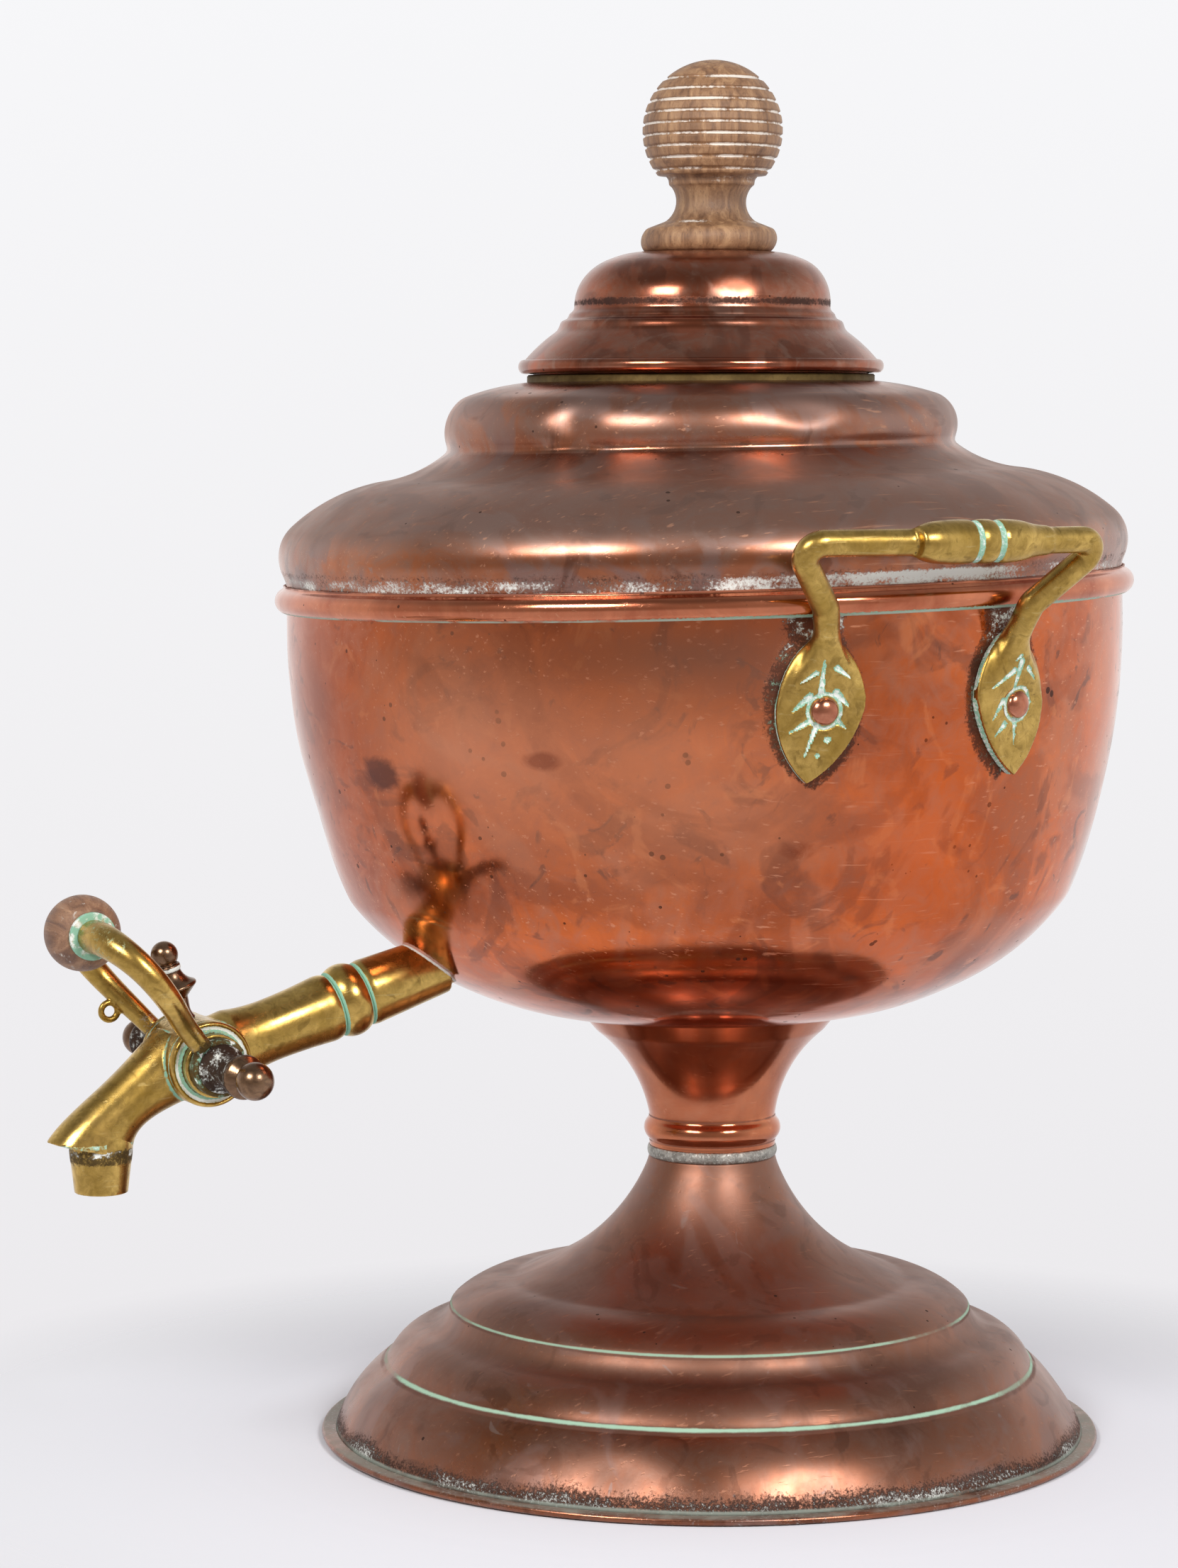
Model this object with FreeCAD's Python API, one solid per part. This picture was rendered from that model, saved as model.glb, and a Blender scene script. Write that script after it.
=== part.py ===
import FreeCAD, Part
import math
import os

os.makedirs("parts", exist_ok=True)

V = FreeCAD.Vector
ORIGIN = V(0, 0, 0)
AXIS_X = V(1, 0, 0)
AXIS_Z = V(0, 0, 1)

# The urn stands on z = 0 with its axis on Z. The tap points along -Y, a handle stands on each side.
# Lengths are millimetres, angles are degrees.

# Sheet copper, and the gaps between pieces that move on each other
sheet = 1.2
plug_clearance = 0.04
lid_clearance = 0.5
face_gap = 0.1

# Base plate and foot, from the floor up
base_radius = 122.5
base_thickness = 2.4
base_edge_bulge = 0.6
base_rim = 3.9
lower_crease_radius = 102.2
lower_dome_height = 21.4
cove_radius = 88.5
cove_height = 10.0
middle_crease_radius = 82.0
middle_dome_height = 17.8
roll_radius = 60.0
roll_height = 9.9
flare_radius = 52.0
flare_height = 3.4
foot_neck_radius = 19.9
foot_trumpet_height = 37.0
neck_lead = 2.5

# Solder ring between foot and stem, and the stem with its bead
solder_height = 3.0
solder_proud = 0.4
stem_radius = 19.9
stem_height = 43.1
bead_foot = 2.2
bead_height = 6.8
bead_bulge = 1.7
stem_top_radius = 41.0
stem_flare_radius = 36.0
stem_flare_height = 6.0

# Bowl
bowl_radius = 130.0
bowl_height = 131.4
bowl_flat_radius = 44.0
bowl_low_radius = 78.0
bowl_low_height = 9.6
bowl_turn_radius = 111.5
bowl_turn_height = 36.9
bowl_straight_height = 10.0

# Girdle band that covers the joint of bowl and shoulder
band_wall = 1.0
band_below = 3.0
band_height = 8.4
band_bead_height = 7.4
band_bead_bulge = 2.6

# Shoulder with the collar bulge, and the mouth ring
shoulder_skirt = 6.2
shoulder_edge_inset = 2.7
shoulder_edge_height = 23.5
shoulder_slope_radius = 100.5
shoulder_slope_height = 36.2
collar_radius = 78.4
collar_height = 45.2
collar_top_radius = 74.0
collar_top_height = 60.5
mouth_radius = 54.0
mouth_height = 65.0
mouth_wall = 1.5
mouth_rise = 2.2
mouth_depth = 7.0

# Lid
lid_radius = 56.6
lid_skirt_radius = 45.2
lid_skirt_height = 13.4
lid_waist_radius = 39.9
lid_waist_height = 21.1
lid_dome_radius = 28.5
lid_dome_height = 34.8
lid_height = 36.6
lid_flat_radius = 20.0
lid_roll_height = 2.4
lid_roll_bulge = 1.1
lid_plug_depth = 11.0

# Wooden knob and its screw
knob_foot_radius = 19.6
knob_foot_height = 7.2
knob_foot_bulge = 1.6
knob_neck_radius = 12.4
knob_neck_height = 20.0
knob_ball_radius = 21.7
knob_ball_height = 37.3
knob_groove_count = 10
knob_groove_pitch = 3.5
knob_groove_depth = 0.7
knob_groove_width = 0.9
screw_radius = 2.3
screw_depth = 26.0
screw_head_radius = 5.0
screw_head_height = 2.4
knob_washer_radius = 9.0
knob_washer_thickness = 1.2

# Side handles
handle_turn = 1.7
handle_count = 2
leaf_angle = 14.2
leaf_thickness = 2.6
leaf_tip_drop = 21.0
leaf_shoulder_rise = 3.5
leaf_rise = 20.8
leaf_width = 26.4
leaf_neck_width = 7.0
left_leaf_lean = (-4.2, -0.4, -0.2)
right_leaf_lean = (2.4, -2.2, -3.0)
handle_rivet_height = 102.6
handle_rod_radius = 3.9
handle_root_radius = 2.2
handle_knee_rise = 29.4
handle_knee_out = 5.0
handle_knee_side = 34.2
handle_knee_shift = -2.0
handle_bar_out = 15.0
handle_bar_bow = 5.0
handle_bar_height = 150.6
handle_half_width = 51.8
handle_bend = 4.6
handle_grip_radius = 6.3
handle_grip_length = 46.0
handle_grip_shift = 6.2
handle_groove_depth = 0.6
handle_groove_width = 3.0
handle_groove_pitch = 7.6
rivet_shank_radius = 2.0
rivet_head_radius = 4.2
rivet_head_rise = 2.4
burr_radius = 4.6
burr_thickness = 1.4

# Tap: its plug crosses the tap's axis at the pivot
tap_slope = 17.0
tap_reach = 171.0
tap_height = -5.0
tap_bore_radius = 4.5
barrel_radius = 12.8
barrel_half = 14.0
barrel_groove_depth = 0.4
barrel_groove_width = 1.0
barrel_lip = 2.4
face_groove_inner = 9.6
face_groove_outer = 11.7
face_groove_depth = 0.8
vase_waist_radius = 9.4
vase_radius = 10.3
vase_end_radius = 9.6
coupling_start = 46.1
coupling_length = 9.3
coupling_bulge = 1.7
shank_end_radius = 10.2
shank_root_radius = 9.0
shank_bury = 2.55
spigot_radius = 7.0
spigot_inside = 8.0

# Spout and nozzle: reach and drop are measured from the pivot
spout_half_width = 9.4
nozzle_reach = 30.0
nozzle_drop = 38.0
nozzle_height = 12.0
nozzle_top_radius = 9.3
nozzle_tip_radius = 7.9
nozzle_bore_radius = 5.8

# Plug, with the boss that carries an arm of the yoke at each end
plug_big_radius = 8.6
plug_small_radius = 7.6
plug_head_radius = 9.4
plug_head_length = 3.4
boss_radius = 5.0
eye_radius = 8.6
eye_length = 4.6
open_angle = 80.0
port_angle = 25.0

# Yoke handle with its turned grip
grip_reach = 52.8
grip_angle = 131.6
grip_radius = 11.3
grip_half = 8.5
grip_pin_radius = 2.0
grip_pin_bite = 4.0
ferrule_radius = 7.1
ferrule_length = 1.5
arm_bow_side = 11.5
arm_top_radius = 5.0
arm_foot_radius = 2.9
scroll_radius = 2.6
scroll_wire = 1.0

# Finials: two hold the yoke's arms, one stands on the barrel
side_ball_radius = 5.6
side_finial_length = 27.0
side_base_radius = 7.2
side_neck_radius = 4.4
side_flange_radius = 6.3
side_stud_radius = 2.4
side_stud_length = 12.0
top_ball_radius = 4.1
top_finial_length = 20.3
top_flange_radius = 6.8
top_neck_radius = 2.8
top_stud_radius = 1.8
top_stud_length = 3.0

# Heater sleeve inside the bowl, and the cast-iron heater that is dropped into it
sleeve_radius = 32.0
sleeve_height = 150.0
iron_radius = 26.0
iron_height = 118.0
iron_eye_radius = 8.0
iron_eye_wire = 3.0
iron_chamfer = 3.0

# Sizes that follow from the bowl, the base and the tap
lower_dome_radius = base_radius - base_rim
handle_knee_reach = bowl_radius + handle_knee_out
handle_bar_reach = bowl_radius + handle_bar_out
shoulder_edge_radius = bowl_radius - shoulder_edge_inset
shank_root_reach = (bowl_low_radius + bowl_turn_radius) / 2 - shank_bury
tap_run = (tap_reach - shank_root_reach) / math.cos(math.radians(tap_slope))
shank_length = tap_run - coupling_start - coupling_length

# Levels that follow from the heights
z_lower_crease = base_thickness + lower_dome_height
z_middle_crease = z_lower_crease + middle_dome_height
z_roll = z_middle_crease + roll_height
z_foot_top = z_roll + foot_trumpet_height
z_stem = z_foot_top + solder_height
z_bowl = z_stem + stem_height
z_rim = z_bowl + bowl_height
z_band = z_rim - band_below
z_mouth = z_rim + mouth_height
z_seat = z_mouth + mouth_rise
z_knob = z_seat + sheet + lid_height
z_rivet = z_bowl + handle_rivet_height
z_bar = z_bowl + handle_bar_height
pivot = V(0, -tap_reach, z_bowl + tap_height)


def bulged_edge(start, end, bulge):
    """One edge in the XZ plane. A positive bulge swells to the right of the way travelled."""
    a = V(start[0], 0, start[1])
    b = V(end[0], 0, end[1])
    if abs(bulge) < 1e-6:
        return Part.LineSegment(a, b).toShape()
    way = b.sub(a)
    side = V(way.z, 0, -way.x)
    side.normalize()
    middle = a.add(b).multiply(0.5).add(side.multiply(bulge))
    return Part.Arc(a, middle, b).toShape()


def outline(points, closed=False):
    """A wire through (radius, height, bulge to the next point)."""
    ends = list(zip(points[:-1], points[1:]))
    if closed:
        ends.append((points[-1], points[0]))
    edges = []
    for p, q in ends:
        bulge = p[2] if len(p) > 2 else 0
        edges.append(bulged_edge(p, q, bulge))
    return Part.Wire(edges)


def spun(points):
    """The solid that a closed outline sweeps round Z."""
    return Part.Face(outline(points, closed=True)).revolve(ORIGIN, AXIS_Z, 360)


def shifted(point, way, wall):
    """The point moved to the left of the way travelled by one wall."""
    return V(point.x - way.z * wall, 0, point.z + way.x * wall)


def end_shift(point, way, wall):
    """The other side of the sheet at an open end, cut level or upright, whichever is squarer."""
    if abs(way.z) > abs(way.x):
        return V(point.x - wall / way.z, 0, point.z)
    return V(point.x, 0, point.z + wall / way.x)


def sheet_shell(points, wall=sheet):
    """A spun sheet whose outer side follows an open outline drawn from the bottom up."""
    edges = outline(points).OrderedEdges
    starts = [e.tangentAt(e.FirstParameter) for e in edges]
    ends = [e.tangentAt(e.LastParameter) for e in edges]
    corners = [V(p[0], 0, p[1]) for p in points]
    inner = [end_shift(corners[0], starts[0], wall)]
    for i in range(1, len(edges)):
        way = ends[i - 1].add(starts[i])
        way.normalize()
        spread = way.dot(starts[i])
        inner.append(shifted(corners[i], way, wall / spread))
    inner.append(end_shift(corners[-1], ends[-1], wall))
    loop = list(edges)
    loop.append(Part.LineSegment(corners[-1], inner[-1]).toShape())
    for i in range(len(edges) - 1, -1, -1):
        edge = edges[i]
        if edge.Curve.TypeId == "Part::GeomLine":
            loop.append(Part.LineSegment(inner[i + 1], inner[i]).toShape())
            continue
        half = (edge.FirstParameter + edge.LastParameter) / 2
        middle = shifted(edge.valueAt(half), edge.tangentAt(half), wall)
        loop.append(Part.Arc(inner[i + 1], middle, inner[i]).toShape())
    loop.append(Part.LineSegment(inner[0], corners[0]).toShape())
    return Part.Face(Part.Wire(loop)).revolve(ORIGIN, AXIS_Z, 360)


def ring(inner, outer, low, high):
    return spun([(inner, low), (outer, low), (outer, high), (inner, high)])


def rod(start, end, radius):
    way = end.sub(start)
    return Part.makeCylinder(radius, way.Length, start, way)


def along_x(shape, sign=1):
    """Turns a piece drawn round Z so that it runs from the pivot along X or against it."""
    turned = shape.copy()
    turned.rotate(ORIGIN, V(0, 1, 0), 90 * sign)
    turned.translate(pivot)
    return turned


def along_tap(shape, angle=tap_slope):
    """Turns a piece drawn round Z so that it runs up the tap's axis towards the bowl."""
    turned = shape.copy()
    turned.rotate(ORIGIN, AXIS_X, angle - 90)
    turned.translate(pivot)
    return turned


def in_tap_plane(reach, drop):
    """A point in the tap's middle plane, out from the pivot and down from it."""
    return V(0, pivot.y - reach, pivot.z - drop)


def turned_about_z(shape, angle):
    turned = shape.copy()
    turned.rotate(ORIGIN, AXIS_Z, angle)
    return turned


def tidy(shape):
    """One clean solid from the result of a fuse or a cut."""
    cleaned = shape.removeSplitter()
    solids = sorted(cleaned.Solids, key=lambda s: s.Volume)
    return solids[-1]


def write(name, shape):
    if not shape.isValid():
        raise ValueError(name + " is not a valid shape")
    print(name, len(shape.Solids), "solids", round(shape.Volume), "mm3")
    shape.exportStep("parts/" + name + ".step")


# Base plate with a rounded edge, closed underneath
base_edge = base_radius - base_edge_bulge
write("base_plate", spun([
    (0, 0),
    (base_edge, 0, base_edge_bulge),
    (base_edge, base_thickness),
    (0, base_thickness),
]))

# Foot: two stepped domes and a roll that runs up into a trumpet
write("foot_shell", sheet_shell([
    (lower_dome_radius, base_thickness, 2.7),
    (lower_crease_radius, z_lower_crease, 2.1),
    (cove_radius, z_lower_crease + cove_height, -1.4),
    (middle_crease_radius, z_middle_crease, 3.3),
    (roll_radius, z_roll),
    (flare_radius, z_roll + flare_height, -4.3),
    (foot_neck_radius + 0.7, z_foot_top - neck_lead),
    (foot_neck_radius, z_foot_top),
]))

write("foot_solder_ring", ring(
    foot_neck_radius - sheet, foot_neck_radius + solder_proud, z_foot_top, z_stem))

# Stem with a swaged bead, opening upwards to carry the bowl
write("stem", sheet_shell([
    (stem_radius, z_stem),
    (stem_radius, z_stem + bead_foot, bead_bulge),
    (stem_radius, z_stem + bead_foot + bead_height),
    (stem_radius, z_stem + bead_foot + bead_height + 1, -3.0),
    (stem_flare_radius, z_bowl - stem_flare_height),
    (stem_top_radius, z_bowl),
]))

# Bowl, with the hole for the tap's spigot and the rivet holes
bowl_side = [
    (bowl_flat_radius, z_bowl, 1.6),
    (bowl_low_radius, z_bowl + bowl_low_height, 2.8),
    (bowl_turn_radius, z_bowl + bowl_turn_height, 4.7),
    (bowl_radius, z_rim - bowl_straight_height),
    (bowl_radius, z_rim),
]
bowl_body = spun([(0, z_bowl)] + bowl_side + [(0, z_rim)])
bowl_shell = sheet_shell([(0, z_bowl)] + bowl_side)
coupling_end = coupling_start + coupling_length
shank_end = coupling_end + shank_length
spigot = along_tap(Part.makeCylinder(spigot_radius, spigot_inside + shank_length, V(0, 0, coupling_end)))
tap_bore = along_tap(Part.makeCylinder(tap_bore_radius, shank_end + spigot_inside, ORIGIN))
bowl_shell = bowl_shell.cut(spigot)

# Handle leaves hug the bowl, so they are cut from a skin laid on its side
skin_side = [p for p in bowl_side if p[0] > bowl_low_radius]
leaf_skin = turned_about_z(sheet_shell(skin_side, -leaf_thickness), 90)


def leaf_outline(tip_shift, belly_shift, neck_shift):
    """A leaf with a pointed tip below and a narrow neck above, drawn round its rivet."""
    half = leaf_width / 2
    neck = leaf_neck_width / 2
    shoulder = z_rivet + leaf_shoulder_rise
    top = z_rivet + leaf_rise
    return outline([
        (tip_shift, z_rivet - leaf_tip_drop, 3.3),
        (belly_shift + half, shoulder, 2.1),
        (neck_shift + neck, top),
        (neck_shift - neck, top, 2.1),
        (belly_shift - half, shoulder, 3.3),
    ], closed=True)


def leaf(angle, lean):
    """One leaf, cut out of the skin and turned to its place. The casting leans a little by hand."""
    face = Part.Face(leaf_outline(*lean))
    face.rotate(ORIGIN, AXIS_Z, 90)
    prism = face.extrude(V(2 * bowl_radius, 0, 0))
    return turned_about_z(leaf_skin.common(prism), angle)


def loft_rod(stations):
    """A round rod of changing thickness through (point, direction, radius)."""
    wires = []
    for point, way, radius in stations:
        wires.append(Part.Wire(Part.Circle(point, way, radius).toShape()))
    return Part.makeLoft(wires, True, False)


def directions(points):
    """The way at each point of a path, taken from its neighbours."""
    ways = []
    for i in range(len(points)):
        before = points[max(i - 1, 0)]
        after = points[min(i + 1, len(points) - 1)]
        way = after.sub(before)
        way.normalize()
        ways.append(way)
    return ways


def bent_path(points, bend):
    """Straight runs joined by tangent arcs, none wider than its shorter run allows."""
    edges = []
    start = points[0]
    for before, corner, after in zip(points[:-2], points[1:-1], points[2:]):
        back = before.sub(corner)
        on = after.sub(corner)
        short = min(back.Length, on.Length)
        back.normalize()
        on.normalize()
        half_turn = (math.pi - back.getAngle(on)) / 2
        trim = min(bend * math.tan(half_turn), 0.45 * short)
        radius = trim / math.tan(half_turn)
        inner = V(back).add(on)
        inner.normalize()
        middle = corner.add(inner.multiply(radius / math.cos(half_turn) - radius))
        arc_start = corner.add(V(back).multiply(trim))
        arc_end = corner.add(V(on).multiply(trim))
        edges.append(Part.LineSegment(start, arc_start).toShape())
        edges.append(Part.Arc(arc_start, middle, arc_end).toShape())
        start = arc_end
    edges.append(Part.LineSegment(start, points[-1]).toShape())
    return Part.Wire(edges)


def swept_rod(points, radius, bend):
    """A round rod of one thickness along a bent path."""
    way = points[1].sub(points[0])
    section = Part.Wire(Part.Circle(points[0], way, radius).toShape())
    return bent_path(points, bend).makePipeShell([section], True, False)


def handle_rod():
    """Arms, bar and turned grip of one handle, in the frame where the handle points to +X."""
    foot_out = bowl_radius + leaf_thickness + handle_rod_radius * 0.5
    foot_top = z_rivet + leaf_rise
    sides = []
    for sign, lean in ((-1, left_leaf_lean), (1, right_leaf_lean)):
        foot_way = math.radians(sign * leaf_angle) + lean[2] / foot_out
        sides.append([
            V(foot_out * math.cos(foot_way), foot_out * math.sin(foot_way), foot_top),
            V(handle_knee_reach, sign * handle_knee_side + handle_knee_shift, z_rivet + handle_knee_rise),
            V(handle_bar_reach, sign * handle_half_width, z_bar),
        ])
    bow = V(handle_bar_reach + handle_bar_bow, 0, z_bar)
    piece = swept_rod(sides[1] + [bow] + sides[0][::-1], handle_rod_radius, handle_bend)
    root_depth = 2.2 * handle_rod_radius
    for side in sides:
        foot = side[0]
        root = V(foot.x - leaf_thickness, foot.y * 0.98, foot.z - root_depth)
        way = foot.sub(root)
        piece = piece.fuse(Part.makeCone(handle_root_radius, handle_rod_radius, way.Length, root, way))
        piece = piece.fuse(Part.makeSphere(handle_rod_radius, foot))
    return piece.fuse(turned_grip())


def turned_grip():
    """The turned swelling on the bar, with two grooves in its middle."""
    half = handle_grip_length / 2
    wide = handle_grip_radius
    slim = handle_rod_radius + 0.4
    groove = handle_groove_width / 2
    near = handle_groove_pitch / 2 - groove
    far = handle_groove_pitch / 2 + groove
    swell = spun([
        (0, -half),
        (slim, -half, 0.3),
        (wide - 0.3, -half + 6, 0.2),
        (wide, -far, -handle_groove_depth),
        (wide, -near, 0.1),
        (wide, near, -handle_groove_depth),
        (wide, far, 0.2),
        (wide - 0.6, half - 9, -0.3),
        (slim, half),
        (0, half),
    ])
    share = 1 - abs(handle_grip_shift) / handle_half_width
    swell.rotate(ORIGIN, AXIS_X, -90)
    swell.rotate(ORIGIN, AXIS_Z, math.degrees(math.atan(handle_bar_bow / handle_half_width)))
    swell.translate(V(handle_bar_reach + handle_bar_bow * share, handle_grip_shift, z_bar))
    return swell


probe = rod(V(0, 0, z_rivet), V(2 * bowl_radius, 0, z_rivet), 0.2)
bowl_outside_x = bowl_body.common(probe).BoundBox.XMax
leaf_face_x = bowl_outside_x + leaf_thickness
bowl_inside_x = bowl_outside_x - sheet * 1.02
rivet_end_x = bowl_inside_x - burr_thickness - 0.8
rivet_shank = rod(V(rivet_end_x, 0, z_rivet), V(leaf_face_x, 0, z_rivet), rivet_shank_radius)
head_ball = Part.makeSphere(rivet_head_radius, V(leaf_face_x + rivet_head_rise - rivet_head_radius, 0, z_rivet))
burr_start = V(bowl_inside_x - burr_thickness, 0, z_rivet)
burr_end = V(bowl_outside_x - sheet / 2, 0, z_rivet)
burr_ring = rod(burr_start, burr_end, burr_radius).cut(rivet_shank)

handles = []
rivets = []
burrs = []
for number in range(handle_count):
    place = handle_turn + number * 360.0 / handle_count
    rod_part = turned_about_z(handle_rod(), place)
    left = leaf(place - leaf_angle, left_leaf_lean)
    right = leaf(place + leaf_angle, right_leaf_lean)
    handle = rod_part.fuse([left, right]).cut(bowl_body)
    for angle in (place - leaf_angle, place + leaf_angle):
        shank = turned_about_z(rivet_shank, angle)
        handle = handle.cut(shank)
        bowl_shell = bowl_shell.cut(shank)
        burr = turned_about_z(burr_ring, angle).cut(bowl_shell)
        burrs.append(tidy(burr))
    handle = tidy(handle)
    for angle in (place - leaf_angle, place + leaf_angle):
        shank = turned_about_z(rivet_shank, angle)
        head = turned_about_z(head_ball, angle).cut(handle).cut(bowl_body)
        rivets.append(tidy(shank.fuse(tidy(head))))
    handles.append(handle)

write("handle_right", handles[0])
write("handle_left", handles[1])
write("handle_rivets", Part.makeCompound(rivets))
write("rivet_burrs", Part.makeCompound(burrs))
write("bowl", tidy(bowl_shell))

# Girdle band: a bead and a groove round the joint of bowl and shoulder
write("girdle_band", spun([
    (bowl_radius, z_band),
    (bowl_radius + band_wall, z_band, band_bead_bulge),
    (bowl_radius + band_wall, z_band + band_bead_height, -0.4),
    (bowl_radius + band_wall, z_band + band_height),
    (bowl_radius, z_band + band_height),
]))

# Shoulder and collar
write("shoulder", sheet_shell([
    (bowl_radius, z_rim),
    (bowl_radius, z_rim + shoulder_skirt),
    (bowl_radius + 0.6, z_rim + shoulder_skirt + 1.5, 2.9),
    (shoulder_edge_radius, z_rim + shoulder_edge_height, 2.0),
    (shoulder_slope_radius, z_rim + shoulder_slope_height, -1.8),
    (collar_radius, z_rim + collar_height, 3.0),
    (collar_top_radius, z_rim + collar_top_height, 0.7),
    (mouth_radius, z_mouth),
]))

write("mouth_ring", ring(mouth_radius - mouth_wall, mouth_radius, z_mouth - mouth_depth, z_seat))

# Lid: a flat lip on the mouth ring, then the spun tiers up to the flat below the knob
lid_base = z_seat + sheet
plug_outer = mouth_radius - mouth_wall - lid_clearance
lid_dome = sheet_shell([
    (lid_radius, lid_base, 0.5),
    (lid_skirt_radius, lid_base + lid_skirt_height, -1.2),
    (lid_waist_radius, lid_base + lid_waist_height, 2.3),
    (lid_dome_radius, lid_base + lid_dome_height, 0.5),
    (lid_flat_radius, lid_base + lid_height),
    (screw_radius, lid_base + lid_height),
])
lid_lip = ring(plug_outer, lid_radius, z_seat, lid_base)
write("lid_shell", tidy(lid_dome.fuse(lid_lip)))
roll_low = z_seat - (lid_roll_height - sheet) / 2
write("lid_rim", spun([
    (lid_radius, roll_low, lid_roll_bulge),
    (lid_radius, roll_low + lid_roll_height),
]))
write("lid_plug_ring", ring(plug_outer - sheet, plug_outer, lid_base - lid_plug_depth, lid_base))

# Wooden knob with turned grooves, held by a screw and a washer from inside the lid
ball_centre = z_knob + knob_ball_height
ball_low = z_knob + knob_neck_height + 3.2
ball_low_radius = math.sqrt(knob_ball_radius ** 2 - (ball_centre - ball_low) ** 2)
ball_chord = knob_ball_radius + ball_centre - ball_low
ball_bulge = knob_ball_radius - math.sqrt(
    knob_ball_radius ** 2 - (ball_low_radius ** 2 + ball_chord ** 2) / 4)
knob = spun([
    (0, z_knob),
    (knob_foot_radius, z_knob, knob_foot_bulge),
    (knob_foot_radius, z_knob + knob_foot_height),
    (knob_neck_radius + 1.6, z_knob + knob_foot_height + 2.2, -2.3),
    (knob_neck_radius, z_knob + knob_neck_height),
    (ball_low_radius, ball_low),
    (ball_low_radius, ball_low + 0.01),
    (0, ball_low + 0.01),
])
knob = knob.fuse(Part.makeSphere(knob_ball_radius, V(0, 0, ball_centre)).cut(
    Part.makeBox(90, 90, 60, V(-45, -45, ball_low + 0.005 - 60))))
for i in range(knob_groove_count):
    offset = (i - (knob_groove_count - 1) / 2) * knob_groove_pitch
    groove_radius = math.sqrt(knob_ball_radius ** 2 - offset ** 2) - knob_groove_depth
    low = ball_centre + offset - knob_groove_width / 2
    knob = knob.cut(ring(groove_radius, knob_ball_radius + 2, low, low + knob_groove_width))
screw_top = z_knob + screw_depth
knob = knob.cut(rod(V(0, 0, z_knob), V(0, 0, screw_top), screw_radius))
write("knob", tidy(knob))
washer_top = z_knob - sheet
head_top = washer_top - knob_washer_thickness
write("knob_washer", ring(screw_radius, knob_washer_radius, head_top, washer_top))
head_low = head_top - screw_head_height
write("knob_screw", spun([
    (0, head_low),
    (screw_head_radius * 0.5, head_low, 0.3),
    (screw_head_radius, head_top),
    (screw_radius, head_top),
    (screw_radius, screw_top),
    (0, screw_top),
]))

# Heater sleeve, closed below, and the cast-iron heater with its lifting eye
z_floor = z_bowl + sheet
sleeve = ring(sleeve_radius - sheet, sleeve_radius, z_floor, z_floor + sleeve_height)
write("heater_sleeve", tidy(sleeve.fuse(ring(0, sleeve_radius, z_floor, z_floor + sheet))))
iron_low = z_floor + sheet
iron_top = iron_low + iron_height
iron = spun([
    (0, iron_low),
    (iron_radius - iron_chamfer, iron_low),
    (iron_radius, iron_low + iron_chamfer),
    (iron_radius, iron_top - iron_chamfer),
    (iron_radius - iron_chamfer, iron_top),
    (0, iron_top),
])
eye_centre = V(0, 0, iron_top + iron_eye_radius)
eye = Part.makeTorus(iron_eye_radius, iron_eye_wire, eye_centre, V(1, 0, 0))
write("heating_iron", tidy(iron.fuse(eye)))

# Tap shank: a cone trimmed to the bowl, with a spigot through the wall
shank_cone = along_tap(spun([
    (0, coupling_end),
    (vase_end_radius, coupling_end, 0.1),
    (shank_end_radius, coupling_end + 2.4),
    (shank_root_radius, shank_end),
    (0, shank_end),
]))
shank = shank_cone.cut(bowl_body).fuse(spigot).cut(tap_bore)
write("tap_shank", tidy(shank))

coupling = along_tap(spun([
    (tap_bore_radius, coupling_start),
    (vase_end_radius, coupling_start, coupling_bulge),
    (vase_end_radius, coupling_end),
    (tap_bore_radius, coupling_end),
]))
write("tap_coupling", coupling)

# Tap body: vase, barrel and spout, then its bores
vase = along_tap(spun([
    (0, 0),
    (vase_radius, 0),
    (vase_radius + 0.6, 12, -0.4),
    (vase_waist_radius, 25, -0.2),
    (vase_radius, 42, 0.3),
    (vase_end_radius, coupling_start),
    (0, coupling_start),
]))
lip_start = barrel_half - barrel_lip
groove_start = lip_start - barrel_groove_width
barrel_inner = barrel_radius - barrel_groove_depth
half_barrel = spun([
    (0, 0),
    (barrel_radius, 0),
    (barrel_radius, groove_start),
    (barrel_inner, groove_start),
    (barrel_inner, lip_start),
    (barrel_radius, lip_start, 0.3),
    (barrel_radius - 0.6, barrel_half),
    (face_groove_outer, barrel_half),
    (face_groove_outer, barrel_half - face_groove_depth),
    (face_groove_inner, barrel_half - face_groove_depth),
    (face_groove_inner, barrel_half),
    (0, barrel_half),
])
barrel = along_x(half_barrel).fuse(along_x(half_barrel, -1))

# Spout sections as (inner reach, inner drop, outer reach, outer drop, share of the half width)
spout_sections = [
    (-1.5, 10.0, 11.0, -10.0, 1.0),
    (7.0, 13.2, 18.6, -3.4, 1.0),
    (16.4, 18.0, 29.2, 6.2, 0.95),
    (20.3, 24.0, 41.2, 16.4, 0.97),
    (20.5, 27.8, 46.2, 22.2, 1.0),
]


def oval(centre, half_in_plane, half_across):
    """A closed oval through eight points, with its first point on the outer side."""
    points = []
    for i in range(8):
        turn = math.radians(45 * i)
        points.append(centre.add(V(half_in_plane).multiply(math.cos(turn))).add(
            V(half_across * math.sin(turn), 0, 0)))
    curve = Part.BSplineCurve()
    curve.interpolate(points, PeriodicFlag=True)
    return Part.Wire(curve.toShape())


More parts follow.
